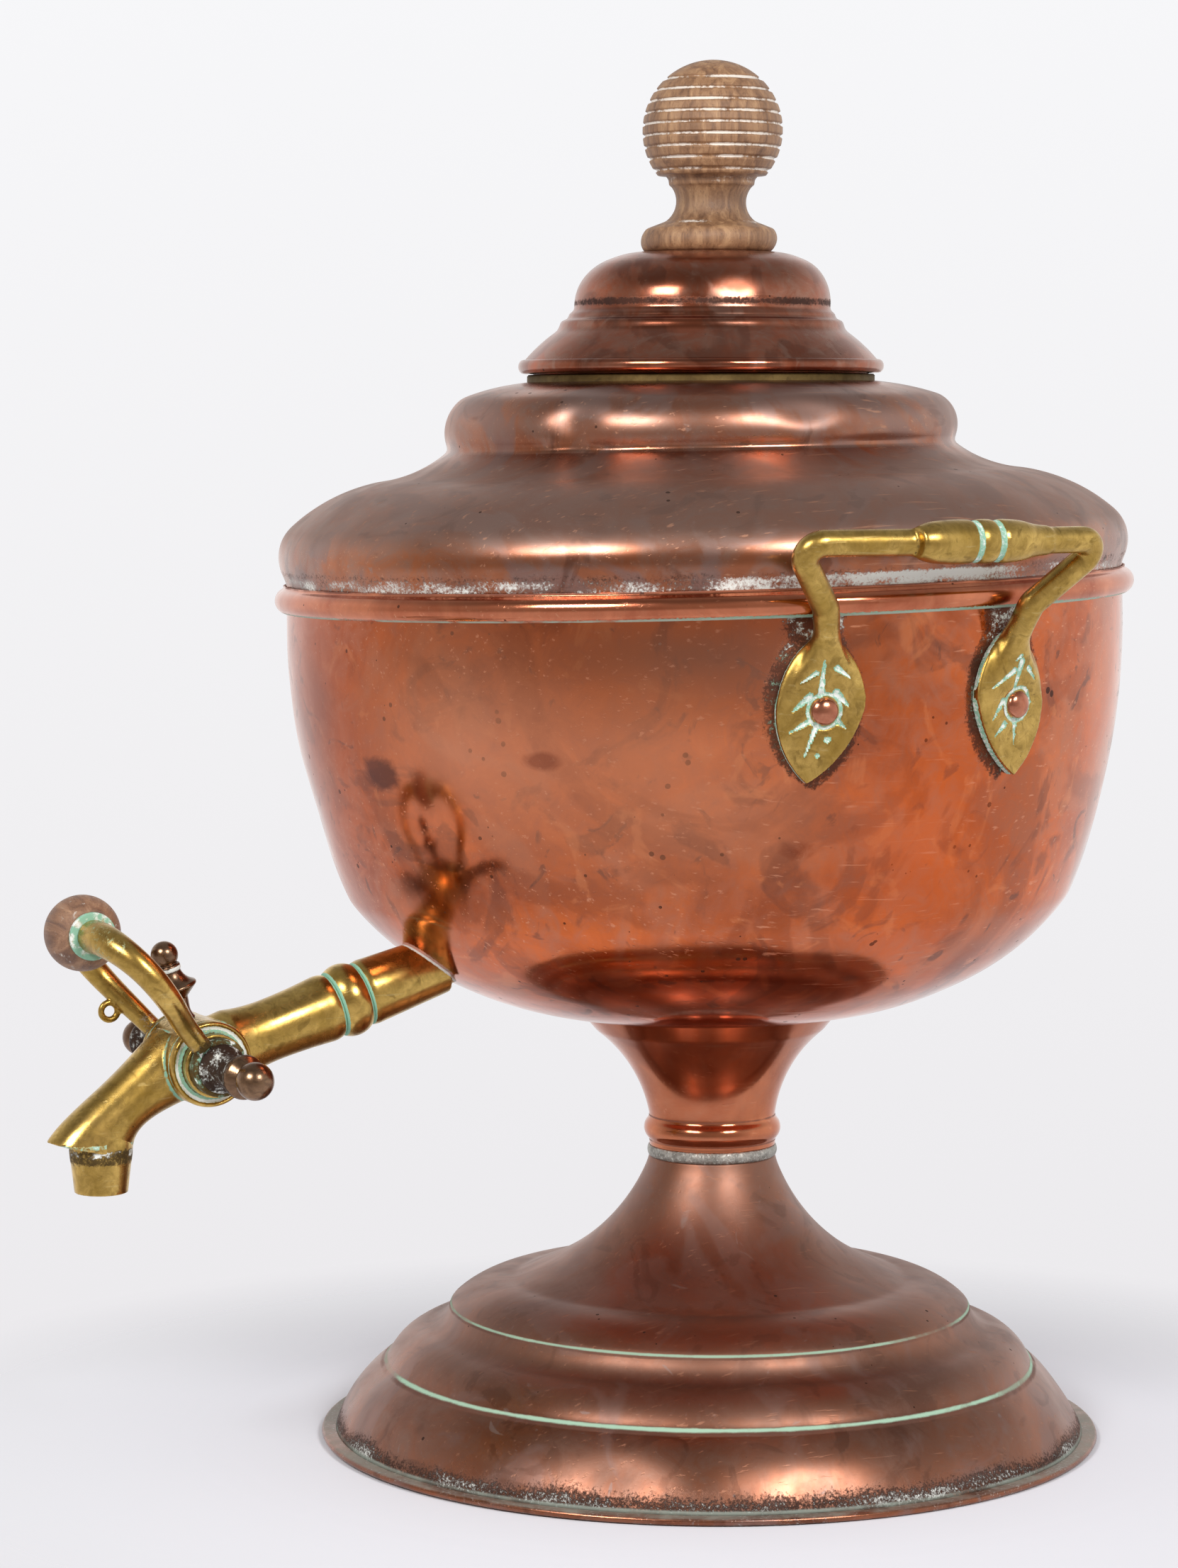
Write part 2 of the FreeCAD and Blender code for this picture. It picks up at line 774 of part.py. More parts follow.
spout_wires = []
for inner_reach, inner_drop, outer_reach, outer_drop, share in spout_sections:
    inner = in_tap_plane(inner_reach, inner_drop)
    outer = in_tap_plane(outer_reach, outer_drop)
    middle = inner.add(outer).multiply(0.5)
    spout_wires.append(oval(middle, outer.sub(middle), spout_half_width * share))
spout = Part.makeLoft(spout_wires, True, False)
body_blank = vase.fuse([barrel, spout])
nozzle_low = in_tap_plane(nozzle_reach, nozzle_drop)
nozzle_blank = Part.makeCone(nozzle_tip_radius, nozzle_top_radius, nozzle_height, nozzle_low, AXIS_Z)
outlet_top = V(0, nozzle_low.y, nozzle_low.z + nozzle_height + 6)
outlet_bore = rod(nozzle_low, outlet_top, nozzle_bore_radius)
spout_bore = rod(pivot, V(0, outlet_top.y, outlet_top.z - 1), tap_bore_radius)


def plug_cone(extra):
    """The tapered part of the plug, wider by extra all round, from the small end to the big one."""
    start = V(pivot.x - barrel_half - face_gap, pivot.y, pivot.z)
    length = 2 * (barrel_half + face_gap)
    return Part.makeCone(plug_small_radius + extra, plug_big_radius + extra, length, start, AXIS_X)


tap_body = body_blank.cut(tap_bore).cut(spout_bore).cut(outlet_bore).cut(plug_cone(plug_clearance))
nozzle = nozzle_blank.cut(body_blank).cut(outlet_bore)
top_way = V(0, -math.sin(math.radians(tap_slope)), math.cos(math.radians(tap_slope)))
top_base = pivot.add(V(top_way).multiply(barrel_radius))
top_stud = rod(top_base.sub(V(top_way).multiply(top_stud_length)), top_base, top_stud_radius)
tap_body = tap_body.cut(top_stud)
write("tap_body", tidy(tap_body))
write("tap_nozzle", tidy(nozzle))

# Plug: taper, big head, bosses for the arms, and the port that lines up when the tap is open
plug_start = barrel_half + face_gap
head_end = plug_start + plug_head_length
eye_end = head_end + eye_length
plug = plug_cone(0)
plug = plug.fuse([
    along_x(ring(0, plug_head_radius, plug_start, head_end)),
    along_x(ring(0, boss_radius, head_end, eye_end)),
    along_x(ring(0, boss_radius, plug_start, eye_end), -1),
])
port_rest = math.radians(port_angle + open_angle)
port_way = V(0, math.cos(port_rest), math.sin(port_rest))
port_reach = V(port_way).multiply(2 * plug_big_radius)
port = rod(pivot.sub(port_reach), pivot.add(port_reach), tap_bore_radius)
stud_hole = ring(0, side_stud_radius, eye_end - side_stud_length, eye_end)
plug = plug.cut(port).cut(along_x(stud_hole)).cut(along_x(stud_hole, -1))
write("tap_plug", tidy(plug))
write("plug_washer", along_x(ring(boss_radius, plug_head_radius, plug_start, head_end), -1))

# Yoke: one arm on each side, bent round the grip and ending in an eye on the plug
grip_way = math.radians(grip_angle)
reach_way = V(0, math.cos(grip_way), math.sin(grip_way))
bow_way = V(0, math.sin(grip_way), -math.cos(grip_way))
arm_start = grip_half + ferrule_length
arm_side = (head_end + eye_end) / 2
arm_wide = arm_side + arm_bow_side
grip_centre = pivot.add(V(reach_way).multiply(grip_reach))


def yoke_point(side, reach, bow):
    """A point of an arm: out along X, up towards the grip, and bowed back towards the bowl."""
    way = V(reach_way).multiply(reach).add(V(bow_way).multiply(bow))
    return pivot.add(way).add(V(side, 0, 0))


def trimmed_inside(piece, sign, level):
    """The piece without what lies nearer to the barrel than the level."""
    block = ring(0, 4 * eye_radius, 0, level)
    return piece.cut(along_x(block, sign))


def arm(sign):
    taper = arm_top_radius - arm_foot_radius
    path = [
        (arm_start, grip_reach, 0, 1.0),
        (arm_start + 6.0, grip_reach - 0.4, 0.2, 0.97),
        (arm_wide - 7.0, grip_reach - 3.4, 0.5, 0.8),
        (arm_wide - 1.6, grip_reach - 10.4, 0.9, 0.62),
        (arm_wide, grip_reach - 18.0, 0.7, 0.5),
        (arm_wide - 2.0, grip_reach - 26.0, 0.3, 0.36),
        (arm_wide - 7.0, grip_reach - 34.5, 0, 0.2),
        (arm_side + 1.6, grip_reach - 42.0, 0, 0.1),
        (arm_side, boss_radius + 1.0, 0, 0.1),
    ]
    points = [yoke_point(sign * side, reach, bow) for side, reach, bow, share in path]
    ways = directions(points)
    ways[0] = V(sign, 0, 0)
    radii = [arm_foot_radius + taper * step[3] for step in path]
    piece = loft_rod(list(zip(points, ways, radii)))
    eye = along_x(ring(0, eye_radius, head_end, eye_end), sign)
    bore = along_x(ring(0, boss_radius, head_end - 1, eye_end + 1), sign)
    finial_seat = along_x(ring(0, side_base_radius + 0.6, eye_end, eye_end + 6), sign)
    piece = trimmed_inside(piece, sign, head_end).cut(finial_seat).fuse(eye).cut(bore)
    pin_start = V(sign * (arm_start - 1), 0, 0).add(grip_centre)
    pin_end = V(sign * (arm_start + grip_pin_bite), 0, 0).add(grip_centre)
    return piece.cut(rod(pin_start, pin_end, grip_pin_radius))


scroll_drop = arm_foot_radius + scroll_radius
scroll_place = yoke_point(5.4 - arm_wide, grip_reach - 31.8, -scroll_drop)
scroll = Part.makeTorus(scroll_radius, scroll_wire, scroll_place, AXIS_X)
write("yoke_near_arm", tidy(arm(1)))
write("yoke_far_arm", tidy(arm(-1).fuse(scroll)))

# Turned wooden grip on its pin, with a ferrule at each end
pin_half = arm_start + grip_pin_bite
grip_pin = rod(grip_centre.sub(V(pin_half, 0, 0)), grip_centre.add(V(pin_half, 0, 0)), grip_pin_radius)
grip_end_radius = math.sqrt(grip_radius ** 2 - grip_half ** 2)
grip = along_x(spun([
    (grip_pin_radius, -grip_half),
    (grip_end_radius, -grip_half, grip_radius - grip_end_radius),
    (grip_end_radius, grip_half),
    (grip_pin_radius, grip_half),
]))
grip.translate(grip_centre.sub(pivot))
write("grip", grip)
write("grip_pin", grip_pin)
ferrules = []
for sign in (-1, 1):
    start = grip_centre.add(V(sign * grip_half, 0, 0))
    end = grip_centre.add(V(sign * arm_start, 0, 0))
    ferrules.append(rod(start, end, ferrule_radius).cut(grip_pin))
write("grip_ferrules", Part.makeCompound(ferrules))


# Side finial, drawn up Z from the eye that it holds: stud, cone, neck, flange and ball
ball_foot = side_finial_length - side_ball_radius * 0.8
flange_low = side_finial_length - 10.2
flange_high = side_finial_length - 7.2
side_finial = spun([
    (0, -side_stud_length),
    (side_stud_radius, -side_stud_length),
    (side_stud_radius, 0),
    (side_base_radius, 0, 0.3),
    (side_base_radius - 0.4, 2.0, -0.8),
    (side_neck_radius, 9.0, -0.3),
    (side_neck_radius, flange_low - 1.5),
    (side_flange_radius, flange_low, 0.3),
    (side_flange_radius, flange_high),
    (side_neck_radius - 0.6, ball_foot),
    (0, ball_foot),
]).fuse(Part.makeSphere(side_ball_radius, V(0, 0, side_finial_length)))
side_finial.translate(V(0, 0, eye_end))
write("near_finial", tidy(along_x(side_finial)))
write("far_finial", tidy(along_x(side_finial, -1)))

# Top finial: a bobbin with a pointed flange, and a ball on a collar
ball_foot = top_finial_length - top_ball_radius * 0.8
top_finial = spun([
    (0, -top_stud_length),
    (top_stud_radius, -top_stud_length),
    (top_stud_radius, -0.2),
    (top_neck_radius + 0.9, -0.2, -0.3),
    (top_neck_radius, 3.0),
    (top_neck_radius + 0.4, 6.6),
    (top_flange_radius, 9.8, 0.2),
    (top_flange_radius - 0.4, 10.8, -0.7),
    (top_ball_radius * 0.8, ball_foot - 1.8),
    (top_ball_radius * 0.86, ball_foot - 1.8, 0.2),
    (top_ball_radius * 0.86, ball_foot),
    (0, ball_foot),
]).fuse(Part.makeSphere(top_ball_radius, V(0, 0, top_finial_length)))
top_finial.translate(V(0, 0, barrel_radius))
top_finial = along_tap(top_finial, tap_slope + 90)
write("top_finial", tidy(top_finial.cut(tap_body)))
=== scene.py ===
import math

import bpy
import bmesh
import numpy as np
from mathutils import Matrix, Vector, noise


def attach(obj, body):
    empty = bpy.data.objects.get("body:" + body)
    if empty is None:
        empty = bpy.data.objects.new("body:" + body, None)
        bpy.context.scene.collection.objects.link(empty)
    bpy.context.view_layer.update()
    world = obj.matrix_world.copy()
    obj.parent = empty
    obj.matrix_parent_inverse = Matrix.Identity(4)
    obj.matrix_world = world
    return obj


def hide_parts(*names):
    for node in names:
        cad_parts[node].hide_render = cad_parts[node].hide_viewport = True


bl_info = {
    "name": "Copper tea urn",
    "version": (1, 0, 0),
    "blender": (4, 5, 0),
    "location": "View3D > Sidebar > Tea urn",
    "description": "Dresses a packed tea urn in stained copper, cast brass and turned wood",
    "category": "Object",
}

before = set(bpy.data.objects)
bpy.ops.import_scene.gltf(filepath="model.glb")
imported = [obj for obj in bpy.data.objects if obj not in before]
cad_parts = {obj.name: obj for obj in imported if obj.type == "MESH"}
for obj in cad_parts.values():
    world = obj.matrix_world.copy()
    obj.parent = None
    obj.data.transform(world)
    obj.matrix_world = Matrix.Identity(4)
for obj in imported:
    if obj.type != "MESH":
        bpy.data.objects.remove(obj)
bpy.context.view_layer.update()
MM = 0.001

# The turn about Z, in degrees, where a spun sheet's mesh starts: at the back, away from the leaves
seam_turn = 155

# The view that the urn is dressed for, as a turn about Z. Its sideways direction sets the way the urn leans.
view_turn = math.radians(64.6)
sideways = np.array([math.cos(view_turn), math.sin(view_turn)])
towards = np.array([math.sin(view_turn), -math.cos(view_turn)])


def linear(code):
    """Linear colour from an sRGB hex code."""
    parts = [int(code[i:i + 2], 16) / 255 for i in (0, 2, 4)]
    return [c / 12.92 if c <= 0.04045 else ((c + 0.055) / 1.055) ** 2.4 for c in parts] + [1.0]


def add(tree, kind, inputs=None, out=0, ramp=None, **settings):
    """Adds a node with its settings and links, and gives back one of its outputs."""
    node = tree.nodes.new(kind)
    for name, value in settings.items():
        setattr(node, name, value)
    if ramp:
        while len(node.color_ramp.elements) < len(ramp):
            node.color_ramp.elements.new(0.5)
        for element, (place, colour) in zip(node.color_ramp.elements, ramp):
            element.position = place
            element.color = colour
    for key, value in (inputs or {}).items():
        if isinstance(value, bpy.types.NodeSocket):
            tree.links.new(value, node.inputs[key])
        else:
            node.inputs[key].default_value = value
    return node.outputs[out] if node.outputs else node


# Profiles and spun sheets

def arc_points(start, end, bulge, step):
    """Points from start up to end, swelling to the right of the way travelled."""
    a = np.array(start, float)
    way = np.array(end, float) - a
    length = np.linalg.norm(way)
    count = max(1, int(round((length + abs(bulge)) / step)))
    share = np.arange(count) / count
    points = a + share[:, None] * way
    if abs(bulge) > 1e-6:
        side = np.array([way[1], -way[0]]) / length
        radius = (length ** 2 / 4 + bulge ** 2) / (2 * abs(bulge))
        rise = np.sqrt(radius ** 2 - (length * (share - 0.5)) ** 2) - (radius - abs(bulge))
        points = points + math.copysign(1, bulge) * rise[:, None] * side
    return points


def profile(corners, step=1.0, soften=2):
    """A fine line through (radius, height, bulge), with its creases rounded as a spun sheet's are."""
    runs = []
    for p, q in zip(corners[:-1], corners[1:]):
        runs.append(arc_points(p[:2], q[:2], p[2] if len(p) > 2 else 0, step))
    line = np.vstack(runs + [np.array([corners[-1][:2]], float)])
    for _ in range(soften):
        line[1:-1] = line[1:-1] * 0.5 + (line[:-2] + line[2:]) * 0.25
    return line


def with_wall(line, wall):
    """The closed outline of a sheet: the line, then its other side on the way back."""
    way = np.gradient(line, axis=0)
    way /= np.linalg.norm(way, axis=1)[:, None]
    inner = line - wall * np.column_stack([way[:, 1], -way[:, 0]])
    inner[:, 0] = np.maximum(inner[:, 0], 0)
    return np.vstack([line, inner[::-3], inner[:1]])


lean_heights = (-10, 0, 60, 95, 134, 200, 266, 300, 318, 333, 352, 366, 374, 400, 440)
lean_aside = (0.6, 0.6, 1.0, 1.7, 0.7, -0.6, -1.6, -2.6, -2.6, -2.6, -2.2, -1.6, 0.2, 0.9, 1.2)
lean_tilt = (-0.002, -0.002, 0.0, 0.004, 0.009, 0.017, 0.027, 0.024, 0.019, 0.002, 0.0, 0.0, 0.0, 0.0, 0.0)
lean_grid = np.arange(-30, 470)


def smooth_table(values):
    """The lean at each millimetre of height, with its corners rounded."""
    table = np.interp(lean_grid, lean_heights, values)
    return np.convolve(np.pad(table, 7, "edge"), np.ones(15) / 15, "valid")


aside_table = smooth_table(lean_aside)
tilt_table = smooth_table(lean_tilt)


def leaned(points):
    """The points, in millimetres, as the hand-made urn leans: each level slides sideways and tilts."""
    aside = np.interp(points[:, 2], lean_grid, aside_table)
    tilt = np.interp(points[:, 2], lean_grid, tilt_table)
    across = points[:, :2] @ sideways
    moved = points.copy()
    moved[:, :2] += aside[:, None] * sideways
    moved[:, 2] += tilt * across
    return moved


def ripple(points, size, seed):
    """Smooth noise from -1 to 1 at each point, with waves about as long as size in millimetres."""
    shift = Vector((seed * 17.3, seed * 5.1, seed * 9.7))
    return np.array([noise.noise(Vector(p) / size + shift) for p in points])


def mottle(points, size, seed):
    """The same noise from 0 to 1."""
    return 0.5 + 0.5 * ripple(points, size, seed)


def turn_angle(points):
    """Degrees round Z from the X axis, from -180 to 180."""
    return np.degrees(np.arctan2(points[:, 1], points[:, 0]))


def facing_angle(points):
    """Degrees round Z from the X axis, with the jump of a whole turn at the seam."""
    angle = turn_angle(points)
    return np.where(angle > seam_turn, angle - 360, angle)


def wrapped(angle):
    """The same angle in degrees, from -180 to 180."""
    return (angle + 180) % 360 - 180


def dent_depth(points, dents):
    """How far each point is pushed in, from (angle, height, half width, half height, depth)."""
    angle = facing_angle(points)
    reach = np.hypot(points[:, 0], points[:, 1])
    push = np.zeros(len(points))
    for turn, height, wide, tall, depth in dents:
        aside = np.radians(angle - turn) * reach / wide
        up = (points[:, 2] - height) / tall
        push += depth * np.exp(-(aside ** 2 + up ** 2))
    return push


def new_object(name, vertices, faces):
    """A mesh object from points in millimetres."""
    mesh = bpy.data.meshes.new(name)
    mesh.from_pydata((np.asarray(vertices) * MM).tolist(), [], faces)
    mesh.update()
    thing = bpy.data.objects.new(name, mesh)
    bpy.context.scene.collection.objects.link(thing)
    mesh.shade_smooth()
    return thing


def mesh_points(thing):
    """The object's points in millimetres."""
    values = np.zeros(len(thing.data.vertices) * 3)
    thing.data.vertices.foreach_get("co", values)
    return values.reshape(-1, 3) / MM


def set_points(thing, points):
    """Moves the object's points to these, in millimetres."""
    thing.data.vertices.foreach_set("co", (points * MM).ravel())
    thing.data.update()


def push_in(points, push, reach):
    """Moves each point towards the Z axis, from its reach, by its push."""
    points[:, 0] *= 1 - push / reach
    points[:, 1] *= 1 - push / reach


def keep(thing, **layers):
    """Stores a number for each point under each name, for a material to read."""
    for name, values in layers.items():
        layer = thing.data.attributes.get(name) or thing.data.attributes.new(name, "FLOAT", "POINT")
        numbers = np.broadcast_to(np.asarray(values, np.float32), len(thing.data.vertices))
        layer.data.foreach_set("value", np.ascontiguousarray(numbers))


def ring_faces(rings, count, closed):
    """Four-sided faces between rings of count points, and from the last ring to the first if closed."""
    faces = []
    for i in range(rings if closed else rings - 1):
        low = i * count
        high = (i + 1) % rings * count
        for j in range(count):
            k = (j + 1) % count
            faces.append((low + j, low + k, high + k, high + j))
    return faces


def spun(name, loop, turns=256, closed=True, wave=0.0, dents=()):
    """Spins an outline of (radius, height) round Z, then adds waves, dents and the lean."""
    loop = np.asarray(loop, float)
    loop = loop[np.hypot(*(loop - np.roll(loop, 1, 0)).T) > 1e-4]
    turn = math.radians(seam_turn) + 2 * math.pi * np.arange(turns) / turns
    points = np.zeros((len(loop), turns, 3))
    points[:, :, 0] = loop[:, 0][:, None] * np.cos(turn)
    points[:, :, 1] = loop[:, 0][:, None] * np.sin(turn)
    points[:, :, 2] = loop[:, 1][:, None]
    points = points.reshape(-1, 3)
    flat = points.copy()
    if wave or len(dents):
        reach = np.maximum(np.hypot(points[:, 0], points[:, 1]), 1e-6)
        push = dent_depth(points, dents)
        if wave:
            push += wave * ripple(points, 46.0, 1) + wave * 0.45 * ripple(points, 19.0, 2)
        push *= np.clip(reach / 20, 0, 1)
        push_in(points, push, reach)
    thing = new_object(name, leaned(points), ring_faces(len(loop), turns, closed))
    keep(thing, level=flat[:, 2], facing=facing_angle(flat), reach=np.hypot(flat[:, 0], flat[:, 1]))
    if loop[:, 0].min() < 1e-6:
        work = bmesh.new()
        work.from_mesh(thing.data)
        bmesh.ops.remove_doubles(work, verts=work.verts, dist=1e-7)
        bmesh.ops.dissolve_degenerate(work, edges=work.edges, dist=1e-7)
        work.to_mesh(thing.data)
        work.free()
    return thing


def read(thing, name):
    """The stored numbers of one name, as an array."""
    values = np.zeros(len(thing.data.vertices), np.float32)
    thing.data.attributes[name].data.foreach_get("value", values)
    return values.astype(float)


def neighbour_mean(thing):
    """Gives back a function that takes the object's points to the middle of each one's neighbours."""
    mesh = thing.data
    count = len(mesh.vertices)
    edges = np.zeros(len(mesh.edges) * 2, np.int64)
    mesh.edges.foreach_get("vertices", edges)
    one, two = edges.reshape(-1, 2).T
    degree = np.maximum(np.bincount(edges, minlength=count), 1).astype(float)

    def mean(points):
        total = np.zeros_like(points)
        for axis in range(3):
            total[:, axis] = np.bincount(one, points[two, axis], count)
            total[:, axis] += np.bincount(two, points[one, axis], count)
        return total / degree[:, None]

    return mean


def hollowness(thing, passes):
    """Millimetres by which the surface around each point stands above it: grooves are positive."""
    normals = np.zeros(len(thing.data.vertices) * 3)
    thing.data.vertices.foreach_get("normal", normals)
    mean = neighbour_mean(thing)
    points = mesh_points(thing)
    smooth = points
    for _ in range(passes):
        smooth = mean(smooth)
    return ((smooth - points) * normals.reshape(-1, 3)).sum(axis=1)


def relax(thing, weights, passes):
    """Lets the surface flow smooth where the weights are above nought."""
    mean = neighbour_mean(thing)
    points = mesh_points(thing)
    for _ in range(passes):
        points += weights[:, None] * (mean(points) - points)
    set_points(thing, points)


def shell(rings, closed=False):
    """Points and faces through rings of points: capped at both ends, or closed on itself."""
    count = len(rings[0])
    points = [point for ring in rings for point in ring]
    faces = ring_faces(len(rings), count, closed)
    if not closed:
        faces.append(tuple(range(count))[::-1])
        faces.append(tuple(range(len(points) - count, len(points))))
    return np.array(points), faces


def settle(thing):
    """Leaves the object with the plain mesh that its modifiers give."""
    bpy.context.view_layer.update()
    graph = bpy.context.evaluated_depsgraph_get()
    done = bpy.data.meshes.new_from_object(thing.evaluated_get(graph))
    thing.modifiers.clear()
    thing.data = done


def cast_copy(name, node, grain, passes, extra=()):
    """A casting's skin from the frame's solid and extra shells: one closed surface with softened edges."""
    work = bmesh.new()
    work.from_mesh(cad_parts[node].data)
    for points, faces in extra:
        corners = [work.verts.new(point) for point in points * MM]
        for face in faces:
            work.faces.new([corners[i] for i in face])
    bmesh.ops.remove_doubles(work, verts=work.verts, dist=1e-6)
    mesh = bpy.data.meshes.new(name)
    work.to_mesh(mesh)
    work.free()
    thing = bpy.data.objects.new(name, mesh)
    bpy.context.scene.collection.objects.link(thing)
    skin = thing.modifiers.new("Skin", "REMESH")
    skin.mode = "VOXEL"
    skin.voxel_size = grain * MM
    ease = thing.modifiers.new("Ease", "SMOOTH")
    ease.factor = 0.5
    ease.iterations = passes
    settle(thing)
    thing.data.materials.clear()
    thing.data.shade_smooth()
    return thing


def place(thing, body, slot, material, *nodes):
    """Gives a finished piece its body and its finish, and hides the nodes it stands for; its slot is not
    used.
    """
    if material:
        thing.data.materials.clear()
        thing.data.materials.append(material)
    if nodes:
        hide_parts(*nodes)
    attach(thing, body)


def finish_node(node, material):
    """Gives a solid of the frame its finish."""
    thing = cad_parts[node]
    thing.data.materials.clear()
    thing.data.materials.append(material)


# Finishes

# Hex colour of soot, of painted shade and of the pits
pit_soot_and_shade_colour = "241A18"

# What lies on a metal where it is kept, as (name, hex colour, most that it covers, metal left under it).
# The soot layer also carries painted shade.
dirt_and_shade_layers = (
    ("soot", pit_soot_and_shade_colour, 0.8, 0.8), ("verdigris", "8FBFA6", 1.0, 0.15), ("lime", "E9ECE6", 1.0, 0.05))

# A spot wider than this is a painted reflection with a soft edge, in millimetres
painted_reflection_width = 15


def metal(name, tones, rough, cloud=34.0, speck=0.0, scratch=0.0, relief=0.08, lines=(), stains_and_reflections=(), smears=()):
    """A bare metal with tarnish clouds, pits, scratches, and soot, painted shade, verdigris and lime where
    kept.

    Tones are hex colours for clean, dull, film and scratch, and rough is (clean, dull). Cloud is the size
    of the clouds. Lines are (level, half width, hex, strength) rings; stains_and_reflections are (x, y, z,
    wide, tall, hex, strength) marks, painted reflections if wider than painted_reflection_width, else stains;
    smears are (size, threshold, hex, strength, added roughness) clouds with firm edges. Sizes are
    millimetres."""
    material = bpy.data.materials.new(name)
    material.use_nodes = True
    tree = material.node_tree
    tree.nodes.clear()
    place_in = add(tree, "ShaderNodeTexCoord", out=3)
    clouds = add(tree, "ShaderNodeTexNoise", {
        "Vector": place_in, "Scale": 1000 / cloud, "Detail": 7.0, "Roughness": 0.62, "Distortion": 0.6})
    dull = add(tree, "ShaderNodeValToRGB", {"Fac": clouds}, ramp=[
        (0.34, (0, 0, 0, 1)), (0.68, (1, 1, 1, 1))])
    wisps = add(tree, "ShaderNodeTexNoise", {
        "Vector": place_in, "Scale": 4200 / cloud, "Detail": 9.0, "Roughness": 0.7, "Distortion": 1.1})
    wisp = add(tree, "ShaderNodeMapRange", {"Value": wisps, "From Min": 0.42, "From Max": 0.7})
    colour = add(tree, "ShaderNodeMix", {
        "Factor": dull, "A": linear(tones[0]), "B": linear(tones[1])}, out=2, data_type="RGBA")
    wisp = add(tree, "ShaderNodeMath", {0: wisp, 1: 0.7}, operation="MULTIPLY")
    colour = add(tree, "ShaderNodeMix", {
        "Factor": wisp, "A": colour, "B": linear(tones[2])}, out=2, data_type="RGBA")
    roughness = add(tree, "ShaderNodeMapRange", {
        "Value": dull, "To Min": rough[0], "To Max": rough[1]})
    for lay, low, code, strength, gloss in smears:
        bent = add(tree, "ShaderNodeMapping", {"Vector": place_in, "Location": (lay, lay * 0.3, 0.0)})
        patch = add(tree, "ShaderNodeTexNoise", {
            "Vector": bent, "Scale": 1000 / lay, "Detail": 5.0, "Roughness": 0.52, "Distortion": 2.2})
        patch = add(tree, "ShaderNodeMapRange", {
            "Value": patch, "From Min": low, "From Max": low + 0.09, "To Max": strength},
            interpolation_type="SMOOTHSTEP")
        colour = add(tree, "ShaderNodeMix", {
            "Factor": patch, "A": colour, "B": linear(code)}, out=2, data_type="RGBA")
        roughness = add(tree, "ShaderNodeMath", {0: patch, 1: gloss, 2: roughness}, operation="MULTIPLY_ADD")
    film = add(tree, "ShaderNodeAttribute", out=2, attribute_name="film")
    roughness = add(tree, "ShaderNodeMath", {0: film, 1: 0.24, 2: roughness}, operation="MULTIPLY_ADD")
    filmed = add(tree, "ShaderNodeMath", {0: film, 1: 0.6}, operation="MULTIPLY")
    colour = add(tree, "ShaderNodeMix", {
        "Factor": filmed, "A": colour, "B": linear(tones[2])}, out=2, data_type="RGBA")
    grit = add(tree, "ShaderNodeTexNoise", {
        "Vector": place_in, "Scale": 1100.0, "Detail": 5.0, "Roughness": 0.75})
    height = add(tree, "ShaderNodeMath", {0: wisps, 1: 0.35}, operation="MULTIPLY")
    metallic = None
    if scratch:
        for turn, seed in ((0.4, 0.0), (-0.7, 3.0), (1.3, 7.0)):
            lay = add(tree, "ShaderNodeMapping", {
                "Vector": place_in, "Rotation": (turn, turn * 0.6, seed), "Scale": (1.0, 0.04, 1.0)})
            strand = add(tree, "ShaderNodeTexNoise", {
                "Vector": lay, "Scale": 620.0, "Detail": 3.0, "Roughness": 0.55})
            mark = add(tree, "ShaderNodeMapRange", {
                "Value": strand, "From Min": 0.66, "From Max": 0.74, "To Max": scratch})
            roughness = add(tree, "ShaderNodeMath", {
                0: mark, 1: 0.25, 2: roughness}, operation="MULTIPLY_ADD")
            colour = add(tree, "ShaderNodeMix", {
                "Factor": mark, "A": colour, "B": linear(tones[3])}, out=2, data_type="RGBA")
            height = add(tree, "ShaderNodeMath", {0: height, 1: mark}, operation="SUBTRACT")
    if speck:
        cells = add(tree, "ShaderNodeTexVoronoi", {"Vector": place_in, "Scale": 210.0, "Randomness": 1.0})
        rare = add(tree, "ShaderNodeTexNoise", {"Vector": place_in, "Scale": 52.0, "Detail": 3.0})
        size = add(tree, "ShaderNodeMapRange", {
            "Value": rare, "From Min": 0.5, "From Max": 0.78, "To Max": 0.3 * speck})
        pit = add(tree, "ShaderNodeMath", {0: cells, 1: size}, operation="LESS_THAN")
        pit = add(tree, "ShaderNodeMath", {0: pit, 1: 0.75}, operation="MULTIPLY")
        colour = add(tree, "ShaderNodeMix", {
            "Factor": pit, "A": colour, "B": linear(pit_soot_and_shade_colour)}, out=2, data_type="RGBA")
        roughness = add(tree, "ShaderNodeMath", {0: pit, 1: 0.3, 2: roughness}, operation="MULTIPLY_ADD")
    crust = None
